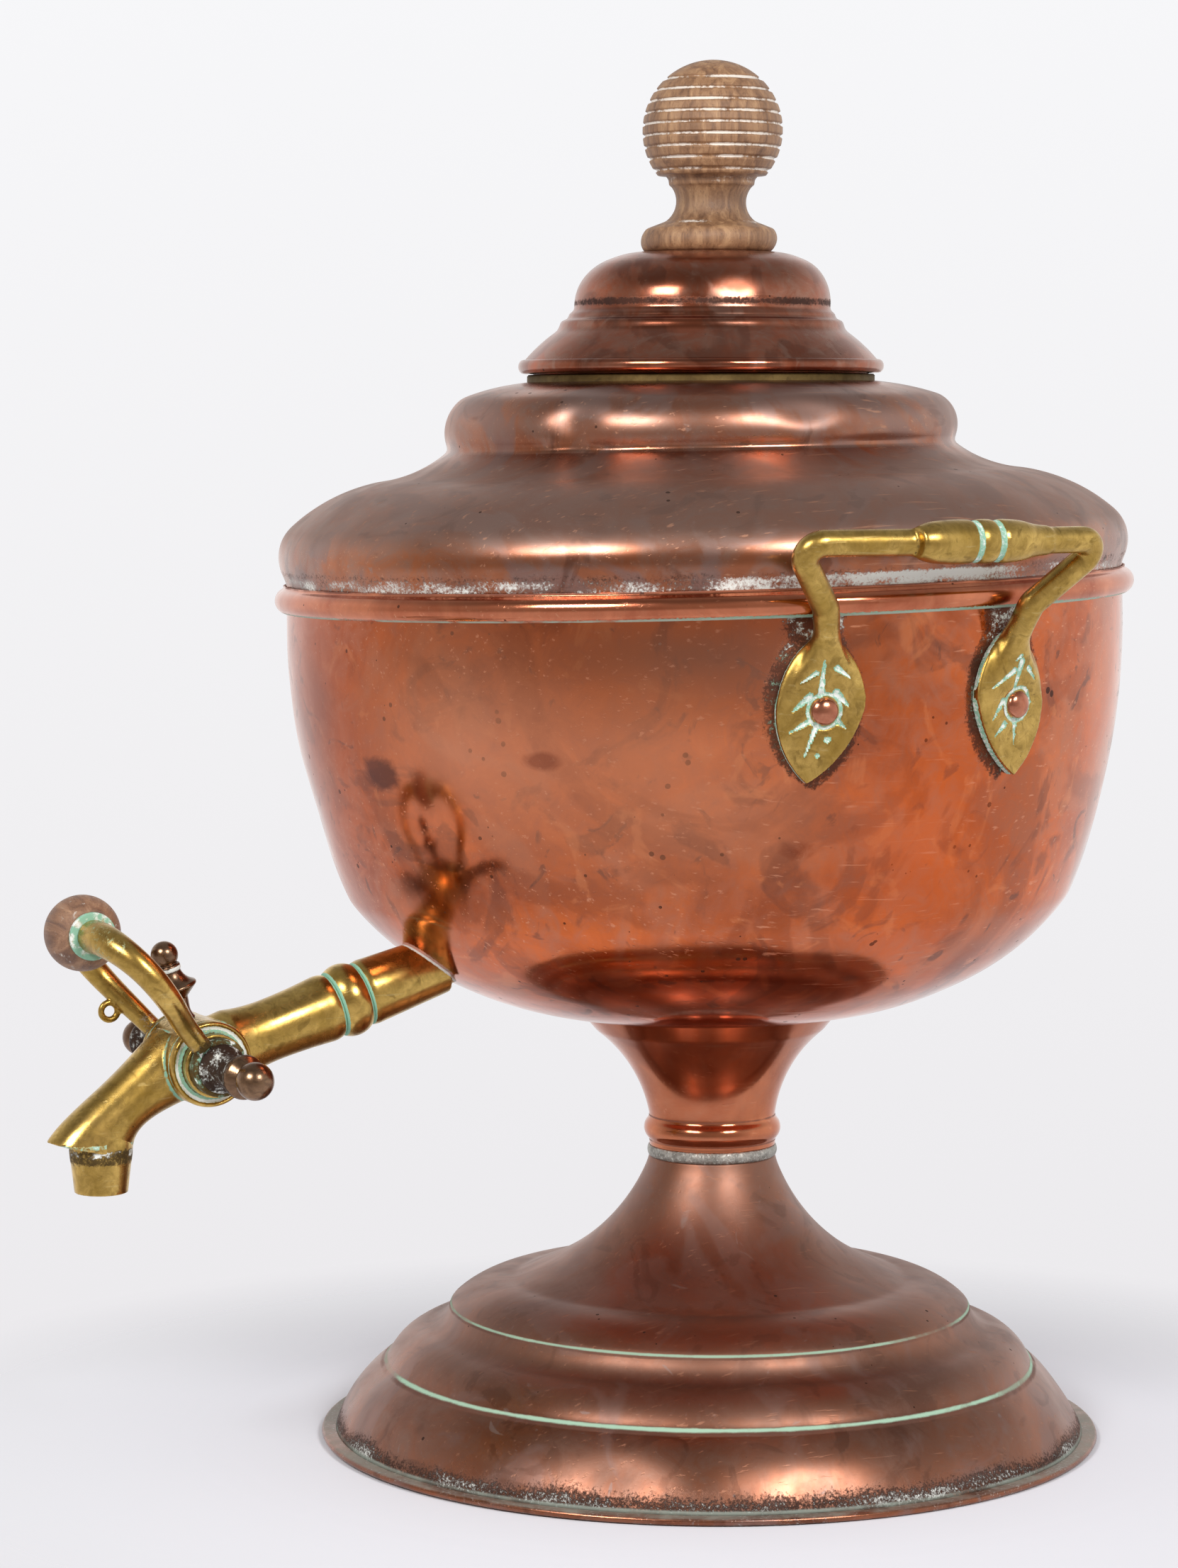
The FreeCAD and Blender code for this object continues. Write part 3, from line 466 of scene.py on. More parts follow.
    # Wide spots are painted reflections with soft edges and no change of roughness; narrow ones are stains.
    for x, y, z, wide, tall, code, strength in stains_and_reflections:
        local = add(tree, "ShaderNodeMapping", {
            "Vector": place_in, "Location": (x * MM, y * MM, z * MM),
            "Scale": (wide * MM, wide * MM, tall * MM)}, vector_type="TEXTURE")
        away = add(tree, "ShaderNodeVectorMath", {0: local}, out=1, operation="LENGTH")
        away = add(tree, "ShaderNodeMath", {0: wisps, 1: 1.5, 2: away}, operation="MULTIPLY_ADD")
        soft = 0.6 if wide > painted_reflection_width else 0
        mark = add(tree, "ShaderNodeMapRange", {
            "Value": away, "From Min": 1.45 - soft, "From Max": 1.95 + soft,
            "To Min": strength, "To Max": 0.0})
        colour = add(tree, "ShaderNodeMix", {
            "Factor": mark, "A": colour, "B": linear(code)}, out=2, data_type="RGBA")
        roughness = add(tree, "ShaderNodeMath", {
            0: mark, 1: 0.0 if soft else 0.2, 2: roughness}, operation="MULTIPLY_ADD")
    for layer, code, top, still_metal in dirt_and_shade_layers:
        kept = add(tree, "ShaderNodeAttribute", out=2, attribute_name=layer)
        edge = add(tree, "ShaderNodeMath", {0: wisps, 1: 0.45, 2: grit}, operation="MULTIPLY_ADD")
        edge = add(tree, "ShaderNodeMath", {0: kept, 1: edge}, operation="ADD")
        mask = add(tree, "ShaderNodeMapRange", {
            "Value": edge, "From Min": 1.06, "From Max": 1.34, "To Max": top},
            interpolation_type="SMOOTHSTEP")
        colour = add(tree, "ShaderNodeMix", {
            "Factor": mask, "A": colour, "B": linear(code)}, out=2, data_type="RGBA")
        crust = mask if crust is None else add(
            tree, "ShaderNodeMath", {0: crust, 1: mask}, operation="MAXIMUM")
        lost = add(tree, "ShaderNodeMath", {0: mask, 1: 1 - still_metal}, operation="MULTIPLY")
        left = add(tree, "ShaderNodeMath", {0: 1.0, 1: lost}, operation="SUBTRACT")
        metallic = left if metallic is None else add(
            tree, "ShaderNodeMath", {0: metallic, 1: left}, operation="MULTIPLY")
    if lines:
        level = add(tree, "ShaderNodeAttribute", out=2, attribute_name="level")
        for ring, half, code, strength in lines:
            gap = add(tree, "ShaderNodeMath", {0: level, 1: ring}, operation="SUBTRACT")
            gap = add(tree, "ShaderNodeMath", {0: gap}, operation="ABSOLUTE")
            ragged = add(tree, "ShaderNodeMath", {0: wisps, 1: half * 1.2, 2: gap}, operation="MULTIPLY_ADD")
            mask = add(tree, "ShaderNodeMapRange", {
                "Value": ragged, "From Min": half, "From Max": half * 1.7,
                "To Min": strength, "To Max": 0.0})
            patchy = add(tree, "ShaderNodeMapRange", {
                "Value": clouds, "From Min": 0.36, "From Max": 0.5, "To Min": 0.12, "To Max": 1.0})
            mask = add(tree, "ShaderNodeMath", {0: mask, 1: patchy}, operation="MULTIPLY")
            colour = add(tree, "ShaderNodeMix", {
                "Factor": mask, "A": colour, "B": linear(code)}, out=2, data_type="RGBA")
            crust = add(tree, "ShaderNodeMath", {0: crust, 1: mask}, operation="MAXIMUM")
            left = add(tree, "ShaderNodeMath", {0: mask, 1: -0.9, 2: 1.0}, operation="MULTIPLY_ADD")
            metallic = add(tree, "ShaderNodeMath", {0: metallic, 1: left}, operation="MULTIPLY")
    roughness = add(tree, "ShaderNodeMath", {0: crust, 1: 0.5, 2: roughness}, operation="MULTIPLY_ADD")
    chalk = add(tree, "ShaderNodeMath", {0: crust, 1: grit}, operation="MULTIPLY")
    height = add(tree, "ShaderNodeMath", {0: chalk, 1: 2.2, 2: height}, operation="MULTIPLY_ADD")
    bump = add(tree, "ShaderNodeBump", {"Height": height, "Strength": relief, "Distance": 0.0008})
    surface = add(tree, "ShaderNodeBsdfPrincipled", {
        "Base Color": colour, "Metallic": metallic, "Roughness": roughness, "Normal": bump})
    add(tree, "ShaderNodeOutputMaterial", {"Surface": surface})
    return material


def turned_wood(name, tones, ring_pitch, chalk_code, axis):
    """Bare turned wood: fibres along its axis, open pores, and chalk or lime held in its grooves."""
    material = bpy.data.materials.new(name)
    material.use_nodes = True
    tree = material.node_tree
    tree.nodes.clear()
    place_in = add(tree, "ShaderNodeTexCoord", out=3)
    stretch = (1.0, 1.0, 0.12) if axis == "Z" else (0.12, 1.0, 1.0)
    along = add(tree, "ShaderNodeMapping", {"Vector": place_in, "Scale": stretch})
    rings = add(tree, "ShaderNodeTexNoise", {
        "Vector": along, "Scale": 1000 / ring_pitch, "Detail": 6.0, "Roughness": 0.6, "Distortion": 0.8})
    fibres = add(tree, "ShaderNodeTexNoise", {
        "Vector": along, "Scale": 2400.0, "Detail": 4.0, "Roughness": 0.7})
    colour = add(tree, "ShaderNodeValToRGB", {"Fac": rings}, ramp=[
        (0.3, linear(tones[2])), (0.5, linear(tones[1])), (0.7, linear(tones[0]))])
    pores = add(tree, "ShaderNodeMapRange", {
        "Value": fibres, "From Min": 0.56, "From Max": 0.68, "To Max": 0.55})
    colour = add(tree, "ShaderNodeMix", {
        "Factor": pores, "A": colour, "B": linear(tones[3])}, out=2, data_type="RGBA")
    grit = add(tree, "ShaderNodeTexNoise", {
        "Vector": place_in, "Scale": 700.0, "Detail": 6.0, "Roughness": 0.75})
    kept = add(tree, "ShaderNodeAttribute", out=2, attribute_name="lime")
    edge = add(tree, "ShaderNodeMath", {0: kept, 1: grit}, operation="ADD")
    chalk = add(tree, "ShaderNodeMapRange", {
        "Value": edge, "From Min": 0.86, "From Max": 1.08}, interpolation_type="SMOOTHSTEP")
    colour = add(tree, "ShaderNodeMix", {
        "Factor": chalk, "A": colour, "B": linear(chalk_code)}, out=2, data_type="RGBA")
    dark = add(tree, "ShaderNodeAttribute", out=2, attribute_name="soot")
    colour = add(tree, "ShaderNodeMix", {
        "Factor": dark, "A": colour, "B": linear("2A1B16")}, out=2, data_type="RGBA")
    height = add(tree, "ShaderNodeMath", {0: fibres, 1: grit}, operation="ADD")
    bump = add(tree, "ShaderNodeBump", {"Height": height, "Strength": 0.35, "Distance": 0.0006})
    roughness = add(tree, "ShaderNodeMapRange", {"Value": rings, "To Min": 0.34, "To Max": 0.6})
    surface = add(tree, "ShaderNodeBsdfPrincipled", {
        "Base Color": colour, "Roughness": roughness, "Normal": bump})
    add(tree, "ShaderNodeOutputMaterial", {"Surface": surface})
    return material


# Sizes and colours that a user would change

class FootSizes(bpy.types.PropertyGroup):
    clean: bpy.props.StringProperty(
        name="Clean copper", description="Hex colour of the rubbed foot", default="A8694C")
    dull: bpy.props.StringProperty(
        name="Dull copper", description="Hex colour of the brown foot", default="6E4636")
    film: bpy.props.StringProperty(
        name="Film", description="Hex colour of the grey film on it", default="8A6A5C")
    crease: bpy.props.StringProperty(
        name="Crease", description="Hex colour of the green in the creases", default="A9CDB4")
    wave: bpy.props.FloatProperty(
        name="Unevenness", description="How uneven the hand-spun foot is, in millimetres",
        default=0.25, min=0)


class BowlSizes(bpy.types.PropertyGroup):
    clean: bpy.props.StringProperty(
        name="Clean copper", description="Hex colour of the bright bowl", default="E2753F")
    dull: bpy.props.StringProperty(
        name="Dull copper", description="Hex colour of the stained bowl", default="A85738")
    film: bpy.props.StringProperty(name="Film", description="Hex colour of the pale haze", default="BC785E")
    scratch: bpy.props.StringProperty(name="Scratch", description="Hex colour in a scratch", default="F0A884")
    wave: bpy.props.FloatProperty(
        name="Unevenness", description="How uneven the hand-spun bowl is, in millimetres", default=0.3, min=0)


class ShoulderSizes(bpy.types.PropertyGroup):
    clean: bpy.props.StringProperty(
        name="Clean copper", description="Hex colour of the rubbed shoulder", default="C07854")
    dull: bpy.props.StringProperty(
        name="Dull copper", description="Hex colour of the brown shoulder", default="88533F")
    film: bpy.props.StringProperty(
        name="Film", description="Hex colour of the grey film on it", default="9E8478")
    wave: bpy.props.FloatProperty(
        name="Unevenness", description="How uneven the beaten shoulder is, in millimetres",
        default=0.55, min=0)


class KnobSizes(bpy.types.PropertyGroup):
    light: bpy.props.StringProperty(
        name="Light wood", description="Hex colour of the pale wood", default="B58E68")
    dark: bpy.props.StringProperty(
        name="Dark wood", description="Hex colour of the dark grain", default="6A4A34")
    chalk: bpy.props.StringProperty(
        name="Chalk", description="Hex colour in the turned grooves", default="E6DDD2")
    grooves: bpy.props.IntProperty(
        name="Grooves", description="How many grooves are turned in the ball", default=10, min=0)
    pitch: bpy.props.FloatProperty(
        name="Pitch", description="From groove to groove, in millimetres", default=3.5, min=1)


class BrassSizes(bpy.types.PropertyGroup):
    clean: bpy.props.StringProperty(
        name="Clean brass", description="Hex colour of the rubbed brass", default="E0BB6B")
    dull: bpy.props.StringProperty(
        name="Dull brass", description="Hex colour of the aged brass", default="A8873F")
    film: bpy.props.StringProperty(name="Film", description="Hex colour of its brown film", default="8C7036")
    grain: bpy.props.FloatProperty(
        name="Grain", description="Spacing of a casting's surface points, in millimetres",
        default=0.42, min=0.2)
    stroke: bpy.props.FloatProperty(
        name="Stroke depth", description="Depth of the lines cut in a leaf, in millimetres",
        default=0.45, min=0)


class StageSizes(bpy.types.PropertyGroup):
    lens: bpy.props.FloatProperty(
        name="Lens", description="Focal length for a 36 mm frame height", default=99.06, min=1)
    away: bpy.props.FloatProperty(
        name="Distance", description="From the urn's axis to the camera", default=1.3475, unit="LENGTH")
    aside: bpy.props.FloatProperty(
        name="Aside", description="How far the axis lies right of the view", default=0.0373, unit="LENGTH")
    height: bpy.props.FloatProperty(
        name="Height", description="Height of the camera", default=0.32095, unit="LENGTH")
    pitch: bpy.props.FloatProperty(
        name="Pitch", description="How far the camera looks down", default=math.radians(4.9), subtype="ANGLE")
    wall: bpy.props.StringProperty(
        name="Paper", description="Hex colour of the paper floor", default="ECEFF6")
    lamp: bpy.props.FloatProperty(
        name="Lamp power", description="Power of each soft box in watts", default=16.0, min=0)
    sky: bpy.props.FloatProperty(
        name="Room light", description="Strength of the light that fills the room", default=1.0, min=0)


# Profiles in millimetres, as (radius, height, bulge to the next point)
wall = 1.2
z_bowl = 134.6
z_rim = 266.0
z_knob = 371.0
z_rivet = 237.2
rim_radius = 130

# The handles' turns about Z and each leaf's turn from its handle, in degrees; then the bar that is gripped
handle_turns = (1.7, 181.7)
leaf_turn = 14.2
shank_radius = 2.0
z_bar = 285
bar_rise = 48
bar_grooves = (6.2 - 3.8, 6.2 + 3.8)

# The tap: where its key turns, how its barrel slopes, its coupling's seams and its nozzle's axis
pivot = np.array([0.0, -171.0, 129.6])
tap_slope = math.radians(17)
coupling_seams = (46.1, 55.4)
nozzle_y = -201.0

foot_line = [
    (118.2, 2.4, 2.3), (101.9, 23.8, 2.1), (88.5, 33.8, -1.4), (82.0, 41.4, 2.2), (62.0, 49.4),
    (52.0, 53.6, -4.5), (20.6, 86.0), (19.9, 88.5)]
stem_line = [
    (19.9, 91.5), (19.9, 93.7, 1.7), (19.9, 100.5), (19.9, 101.5, -3.0), (36.0, 128.6), (41.0, 134.6)]
bowl_line = [
    (0, z_bowl), (44.0, z_bowl, 1.6), (78.0, z_bowl + 9.6, 2.8), (111.5, z_bowl + 36.9, 4.7),
    (130.0, z_rim - 10), (130.0, z_rim)]
shoulder_line = [
    (130.0, z_rim), (130.0, z_rim + 6.2), (130.6, z_rim + 7.7, 2.9), (127.3, z_rim + 23.5, 2.0),
    (100.5, z_rim + 36.2, -1.8), (78.4, z_rim + 45.2, 3.0), (74.0, z_rim + 60.5, 0.7), (54.0, 331.0)]
lid_line = [
    (55.0, 337.4, 0.5), (44.7, 346.8), (44.1, 348.4, 0.7), (42.3, 350.0), (41.4, 350.5, 0.6), (40.4, 352.5),
    (39.7, 353.0, 3.4), (29.6, 369.0, 0.5), (20.0, 371.0), (2.3, 371.0)]
bowl_side = profile(bowl_line, 0.5, 0)


def ring_outline(inner, outer, low, high, soft=0.4):
    """A closed outline of a plain ring with eased corners."""
    return [(inner, low), (outer - soft, low), (outer, low + soft), (outer, high - soft),
            (outer - soft, high), (inner, high)]


def band(values, centre, half, fade):
    """One inside centre give or take half, falling to nought over fade."""
    return np.clip(1 + (half - np.abs(values - centre)) / fade, 0, 1)


class URN_OT_foot(bpy.types.Operator):
    """Foot, base plate, solder ring and stem"""
    bl_idname = "urn.foot"
    bl_label = "Foot and stem"

    def execute(self, context):
        looks = context.scene.urn_foot
        # Brown copper, spun and then left to tarnish: dull clouds, and green lime in the creases.
        tones = (looks.clean, looks.dull, looks.film, "B98468")
        brown = metal(
            "tarnished copper foot", tones, (0.17, 0.34), cloud=52.0, speck=0.6, scratch=0.35, relief=0.1,
            lines=[
                (22.9, 0.7, "4A2A20", 0.5), (40.7, 0.6, "4A2A20", 0.4), (23.7, 0.6, looks.crease, 0.95),
                (41.3, 0.45, looks.crease, 0.8), (2.9, 0.8, "98A298", 0.8)],
            smears=[
                (46, 0.52, "8C7A78", 0.34, 0.12), (24, 0.56, "5A3628", 0.45, 0.0),
                (12, 0.66, "A39C9A", 0.4, 0.2)])
        dents = [(-40, 12, 10, 6, 0.9), (-12, 9, 16, 5, 0.7), (12, 46, 14, 5, 0.6), (-60, 30, 12, 6, 0.6),
                 (62, 14, 30, 9, 1.8), (160, 24, 16, 8, 0.8), (-150, 14, 14, 6, 0.8)]
        line = profile(foot_line, 0.9, 2)
        foot = spun("foot", with_wall(line, wall), 320, wave=looks.wave, dents=dents)
        level = read(foot, "level")
        points = mesh_points(foot)
        grime = mottle(points, 22.0, 5)
        rim = band(level, 4.2, 1.0, 4.5) * (0.16 + 0.34 * grime)
        film = 0.75 + 0.35 * ripple(points, 30.0, 21) - 0.35 * band(level, 16, 8, 8)
        keep(foot, film=np.clip(film, 0, 1), lime=rim, soot=0.45 * band(level, 4, 1, 6) + 0.25 * grime)
        place(foot, "urn", "copper_foot", brown, "foot_shell")

        edge = [(0, 0), (121.0, 0), (122.1, 0.6), (122.5, 1.3), (122.2, 2.1), (121.6, 2.4), (0, 2.4)]
        base = spun("base", edge, 320)
        keep(base, lime=0.3 * band(read(base, "reach"), 121, 1, 2))
        place(base, "urn", "copper_foot", brown, "base_plate")

        # Soft solder gone grey, wiped round the foot's neck.
        solder = metal(
            "soft solder", ("C9C6BE", "8E8B84", "6A6862", "E4E2DA"), (0.35, 0.6), cloud=4.0, relief=0.5)
        ring_line = profile([
            (18.7, 88.3), (20.1, 88.3, 0.5), (20.2, 91.7), (18.7, 91.7), (18.7, 88.3)], 0.5, 0)
        ring = spun("foot_solder", ring_line[:-1], 96, wave=0.5)
        keep(ring, lime=0.35)
        place(ring, "urn", "solder", solder, "foot_solder_ring")

        # The stem is rubbed bright by cleaning.
        bright = metal(
            "polished copper stem", ("D2825C", "A85F44", "BC7A5C", "EAA884"), (0.09, 0.2), cloud=30.0,
            scratch=0.3, relief=0.05, lines=[(101.2, 0.35, "5A3024", 0.6), (93.4, 0.35, "5A3024", 0.6)])
        stem = spun("stem_flare", with_wall(profile(stem_line, 0.7, 1), wall), 192, wave=0.1)
        place(stem, "urn", "copper_bowl", bright, "stem")
        return {"FINISHED"}


class URN_OT_bowl(bpy.types.Operator):
    """Bowl and girdle band"""
    bl_idname = "urn.bowl"
    bl_label = "Bowl"

    def execute(self, context):
        looks = context.scene.urn_bowl
        # The six wide spots are painted reflections, dark red, grey and bright orange; the small ones are
        # stains and pits.
        stains_and_reflections = [
            (-2, -130, 236, 28, 30, "7E3A22", 0.75), (-20, -126, 200, 16, 22, "93482E", 0.4),
            (62, -112, 228, 26, 24, "EBA07C", 0.6), (104, -74, 222, 36, 28, "E0946E", 0.55),
            (112, -60, 253, 26, 7, "8E7468", 0.45), (122, 8, 196, 22, 28, "E0642A", 0.5),
            (84, -100, 212, 3, 9, "4E4440", 0.7), (80, -103, 197, 2.5, 6, "4E4440", 0.7),
            (126, -28, 208, 3, 4, "5A4A44", 0.6), (75, -66, 148, 7, 4, "4A3E3C", 0.7),
            (30, -126, 215, 9, 5, "5E3A34", 0.75), (60, -115, 196, 4, 11, "5C4440", 0.6),
            (84, -96, 222, 6, 3, "8A4A38", 0.6), (101, -47, 162, 5, 4, "46403E", 0.75),
            (123, -32, 196, 7, 4, "7C3A28", 0.7)]
        # Copper rubbed by hand: bright and sharp, with clouds, pits, a pale film and painted reflections.
        copper = metal(
            "stained bright copper", (looks.clean, looks.dull, looks.film, looks.scratch), (0.07, 0.2),
            cloud=44.0, speck=1.0, scratch=0.5, relief=0.05, stains_and_reflections=stains_and_reflections, smears=[
                (90, 0.54, "C4886C", 0.3, 0.06), (62, 0.52, "8E4A32", 0.42, -0.03),
                (36, 0.56, "70463A", 0.46, 0.05), (17, 0.62, "5A4540", 0.55, 0.1),
                (28, 0.6, "EE9462", 0.36, -0.02)])
        dents = [
            (52, 172, 60, 26, -1.2), (-104, 172, 40, 20, -0.9), (-58, 178, 10, 12, 0.8),
            (-48, 205, 8, 16, 0.6), (-10, 176, 14, 10, 0.7), (5, 160, 18, 12, 0.5),
            (70, 200, 16, 12, 0.9), (150, 180, 16, 16, 0.9), (-110, 200, 18, 14, 0.9)]
        line = profile(bowl_line, 1.2, 2)
        bowl = spun("bowl_skin", with_wall(line, wall), 320, wave=looks.wave, dents=dents)
        level = read(bowl, "level")
        facing = read(bowl, "facing")
        # Dirt lies on the bowl in a soft edge round each leaf of the handles.
        near_leaf = np.zeros(len(level))
        for home in handle_turns:
            for turn in (-leaf_turn, leaf_turn):
                aside = np.radians(wrapped(facing - home - turn)) * rim_radius
                half = np.interp(level - z_rivet, (-26, -21, -15, -7, 3, 9, 15, 20, 30),
                                 (-4, 2.5, 8.5, 12.2, 13.2, 12.4, 9.5, 7.0, 8.0))
                outside = np.abs(aside + 1.2) - half
                near_leaf = np.maximum(near_leaf, np.clip(1.2 - np.clip(outside, 0, None) / 3.4, 0, 1))
        points = mesh_points(bowl)
        grime = mottle(points, 9.0, 8)
        speckle = mottle(points, 2.4, 9)
        film = 0.25 * band(level, 248, 8, 16) * band(facing, -32, 22, 22) + 0.3 * ripple(points, 30.0, 24)
        keep(bowl, soot=near_leaf * 0.6 + 0.12 * grime,
             lime=near_leaf * band(level, 259, 5, 5) * (0.05 + 0.6 * speckle),
             verdigris=near_leaf * (0.1 + 0.4 * speckle), film=np.clip(film, 0, 1))
        place(bowl, "urn", "copper_bowl", copper, "bowl")

        belt_line = profile([
            (130.0, 263.0), (130.9, 263.0, 2.6), (130.9, 270.4, -0.4), (131.0, 271.4), (130.0, 271.4),
            (130.0, 263.0)], 0.45, 1)
        belt = spun("girdle", belt_line[:-1], 320, wave=0.12)
        # The girdle is rubbed like the bowl, with green lime caught under its lower edge.
        belt_copper = metal(
            "girdle copper", ("DC8A66", "A8583E", "C27A5C", "F2B894"), (0.1, 0.24), cloud=26.0, speck=0.8,
            scratch=0.3, relief=0.08, lines=[(263.2, 0.55, "B9CFBF", 0.95), (271.2, 0.4, "5A3A30", 0.7)])
        level = read(belt, "level")
        facing = read(belt, "facing")
        keep(belt, verdigris=band(level, 263.2, 0.5, 0.8) * (0.35 + 0.3 * band(facing, 0, 22, 20)))
        place(belt, "urn", "copper_bowl", belt_copper, "girdle_band")
        return {"FINISHED"}


class URN_OT_shoulder(bpy.types.Operator):
    """Shoulder, collar and mouth ring"""
    bl_idname = "urn.shoulder"
    bl_label = "Shoulder"

    def execute(self, context):
        looks = context.scene.urn_shoulder
        # Brown copper with a greasy grey film, beaten uneven by use.
        copper = metal(
            "brown copper shoulder", (looks.clean, looks.dull, looks.film, "D8A080"), (0.13, 0.3),
            cloud=60.0, speck=0.7, scratch=0.45, relief=0.06, smears=[
                (52, 0.5, "8A7672", 0.55, 0.1), (30, 0.57, "633C2E", 0.5, 0.0),
                (13, 0.66, "A09490", 0.4, 0.15)])
        dents = [(-56, 318, 7, 7, 2.2), (-3, 322, 9, 5, 1.6), (-40, 291, 3.2, 2.6, 0.8),
                 (-52, 306, 12, 8, 0.9), (-8, 300, 16, 8, 1.1), (16, 305, 14, 8, 1.0), (30, 296, 12, 10, 1.0),
                 (-75, 296, 12, 9, 1.0), (90, 300, 16, 8, 1.2), (150, 310, 12, 8, 1.5),
                 (-140, 300, 16, 9, 1.2)]
        line = profile(shoulder_line, 1.0, 2)
        shoulder = spun("shoulder_skin", with_wall(line, wall), 360, wave=looks.wave, dents=dents)
        level = read(shoulder, "level")
        facing = read(shoulder, "facing")
        points = mesh_points(shoulder)
        grime = mottle(points, 7.0, 3)
        cove = band(level, 271.8, 2.6, 2.2)
        streak = mottle(np.column_stack([facing * 1.1, 0 * level, level * 2.2]), 5.0, 25)
        strong = band(facing, -3, 20, 9) * (0.3 + 0.62 * streak)
        faint = 0.16 + 0.42 * streak
        film = 1.15 * band(level, 296, 8, 7) + 0.5 * band(level, 322, 5, 5) + 0.25 * ripple(points, 26.0, 22)
        keep(shoulder, lime=cove * np.maximum(strong, faint),
             soot=0.32 * band(level, 272.5, 3, 3) + 0.16 * grime,
             verdigris=0.4 * cove * grime, film=np.clip(film, 0, 1))
        place(shoulder, "urn", "copper_lid", copper, "shoulder")

        brass = bpy.data.materials["cast brass"]
        mouth = spun("mouth_neck", ring_outline(52.5, 54.0, 324.0, 333.2), 192)
        # The neck sits in the dark gap under the lid's rim, so it is painted near black here: painted shade.
        keep(mouth, soot=0.9)
        place(mouth, "urn", "brass", brass, "mouth_ring")
        return {"FINISHED"}


class URN_OT_lid(bpy.types.Operator):
    """Lid with its rolled rim and plug ring"""
    bl_idname = "urn.lid"
    bl_label = "Lid"

    def execute(self, context):
        # The lid is handled most, so it is rubbed to a warmer brown.
        copper = metal(
            "brown copper lid", ("B8684A", "86523E", "A28070", "D8A080"), (0.12, 0.26),
            cloud=40.0, speck=0.5, scratch=0.12, relief=0.04, smears=[
                (40, 0.5, "6A3828", 0.5, 0.0), (26, 0.56, "A88474", 0.5, 0.1)])
        line = profile(lid_line, 0.8, 2)
        lid = spun("lid_skin", with_wall(line, wall), 256, wave=0.2, dents=[
            (-12, 360, 9, 4, 0.6), (20, 352, 8, 5, 0.6), (-60, 343, 10, 4, 0.7), (120, 350, 10, 6, 0.8)])
        points = mesh_points(lid)
        keep(lid, soot=0.25 * mottle(points, 12.0, 4) + 0.5 * band(read(lid, "level"), 355.2, 0.6, 1.2),
             film=np.clip(0.15 + 0.4 * ripple(points, 24.0, 23), 0, 1))
        place(lid, "lid", "copper_lid", copper, "lid_shell")
        lip_line = profile([
            (50.8, 333.2), (55.0, 333.9), (55.2, 335.2), (50.8, 334.6), (50.8, 333.2)], 0.8, 0)
        lip = spun("lid_lip", lip_line[:-1], 192)
        place(lip, "lid", "copper_lid", copper)
        turns = np.arange(16) * math.tau / 16
        roll_line = [(55.2 + 1.6 * math.cos(turn), 335.7 + 2.1 * math.sin(turn)) for turn in turns]
        roll = spun("lid_roll", roll_line, 256, wave=0.12)
        place(roll, "lid", "copper_lid", copper, "lid_rim")
        plug = spun("lid_plug", ring_outline(50.8, 52.0, 323.4, 334.0), 192)
        place(plug, "lid", "copper_lid", copper, "lid_plug_ring")
        return {"FINISHED"}


class URN_OT_knob(bpy.types.Operator):
    """Turned wooden knob with its screw and washer"""
    bl_idname = "urn.knob"
    bl_label = "Knob"

    def execute(self, context):
        looks = context.scene.urn_knob
        # Bare beech gone brown, with chalk left in the turned grooves.
        wood = turned_wood(
            "turned beech knob", (looks.light, "946E4E", looks.dark, "4E3626"), 3.2, looks.chalk, "Z")
        centre = z_knob + 37.3
        ball = 21.7
        corners = [
            (0, z_knob), (19.4, z_knob, 1.6), (19.6, z_knob + 7.2), (14.0, z_knob + 9.4, -2.3),
            (12.4, z_knob + 20.0), (13.2, z_knob + 20.6), (13.4, z_knob + 22.2), (14.3, z_knob + 23.4)]
        line = profile(corners, 0.4, 1)
        start = math.asin((line[-1][1] - centre) / ball)
        turn = np.linspace(start, math.pi / 2, 190)[1:]
        round_line = np.column_stack([ball * np.cos(turn), centre + ball * np.sin(turn)])
        line = np.vstack([line, round_line])
        line[-1, 0] = 0
        lime = np.zeros(len(line))
        for i in range(looks.grooves):
            offset = (i - (looks.grooves - 1) / 2) * looks.pitch
            cut = band(line[:, 1], centre + offset, 0.3, 0.35) * (line[:, 1] > z_knob + 22.5)
            line[:, 0] -= 0.75 * cut * (line[:, 0] > 2)
            lime = np.maximum(lime, cut)
        for level in (z_knob + 9.0, z_knob + 21.4, z_knob + 22.4):
            lime = np.maximum(lime, 0.75 * band(line[:, 1], level, 0.3, 0.5))
        knob = spun("knob_turned", line, 160, closed=False)
        level = read(knob, "level")
        kept = np.interp(level, line[:, 1], lime)
        kept *= 0.55 + 0.45 * ripple(mesh_points(knob), 8.0, 6)
        keep(knob, lime=kept * 0.95,
             soot=0.25 * band(level, z_knob + 14, 3, 4) + 0.3 * band(level, z_knob, 0.4, 0.8))
        place(knob, "lid", "knob_wood", wood, "knob")
        # The screw, its washer and the grip's pin are dull steel.
        steel = metal(
            "plain steel", ("B8B8BA", "8A8A8C", "77706A", "D8D8DA"), (0.25, 0.45), cloud=6.0, relief=0.1)
        for node in ("knob_washer", "knob_screw", "grip_pin"):
            finish_node(node, steel)
        return {"FINISHED"}


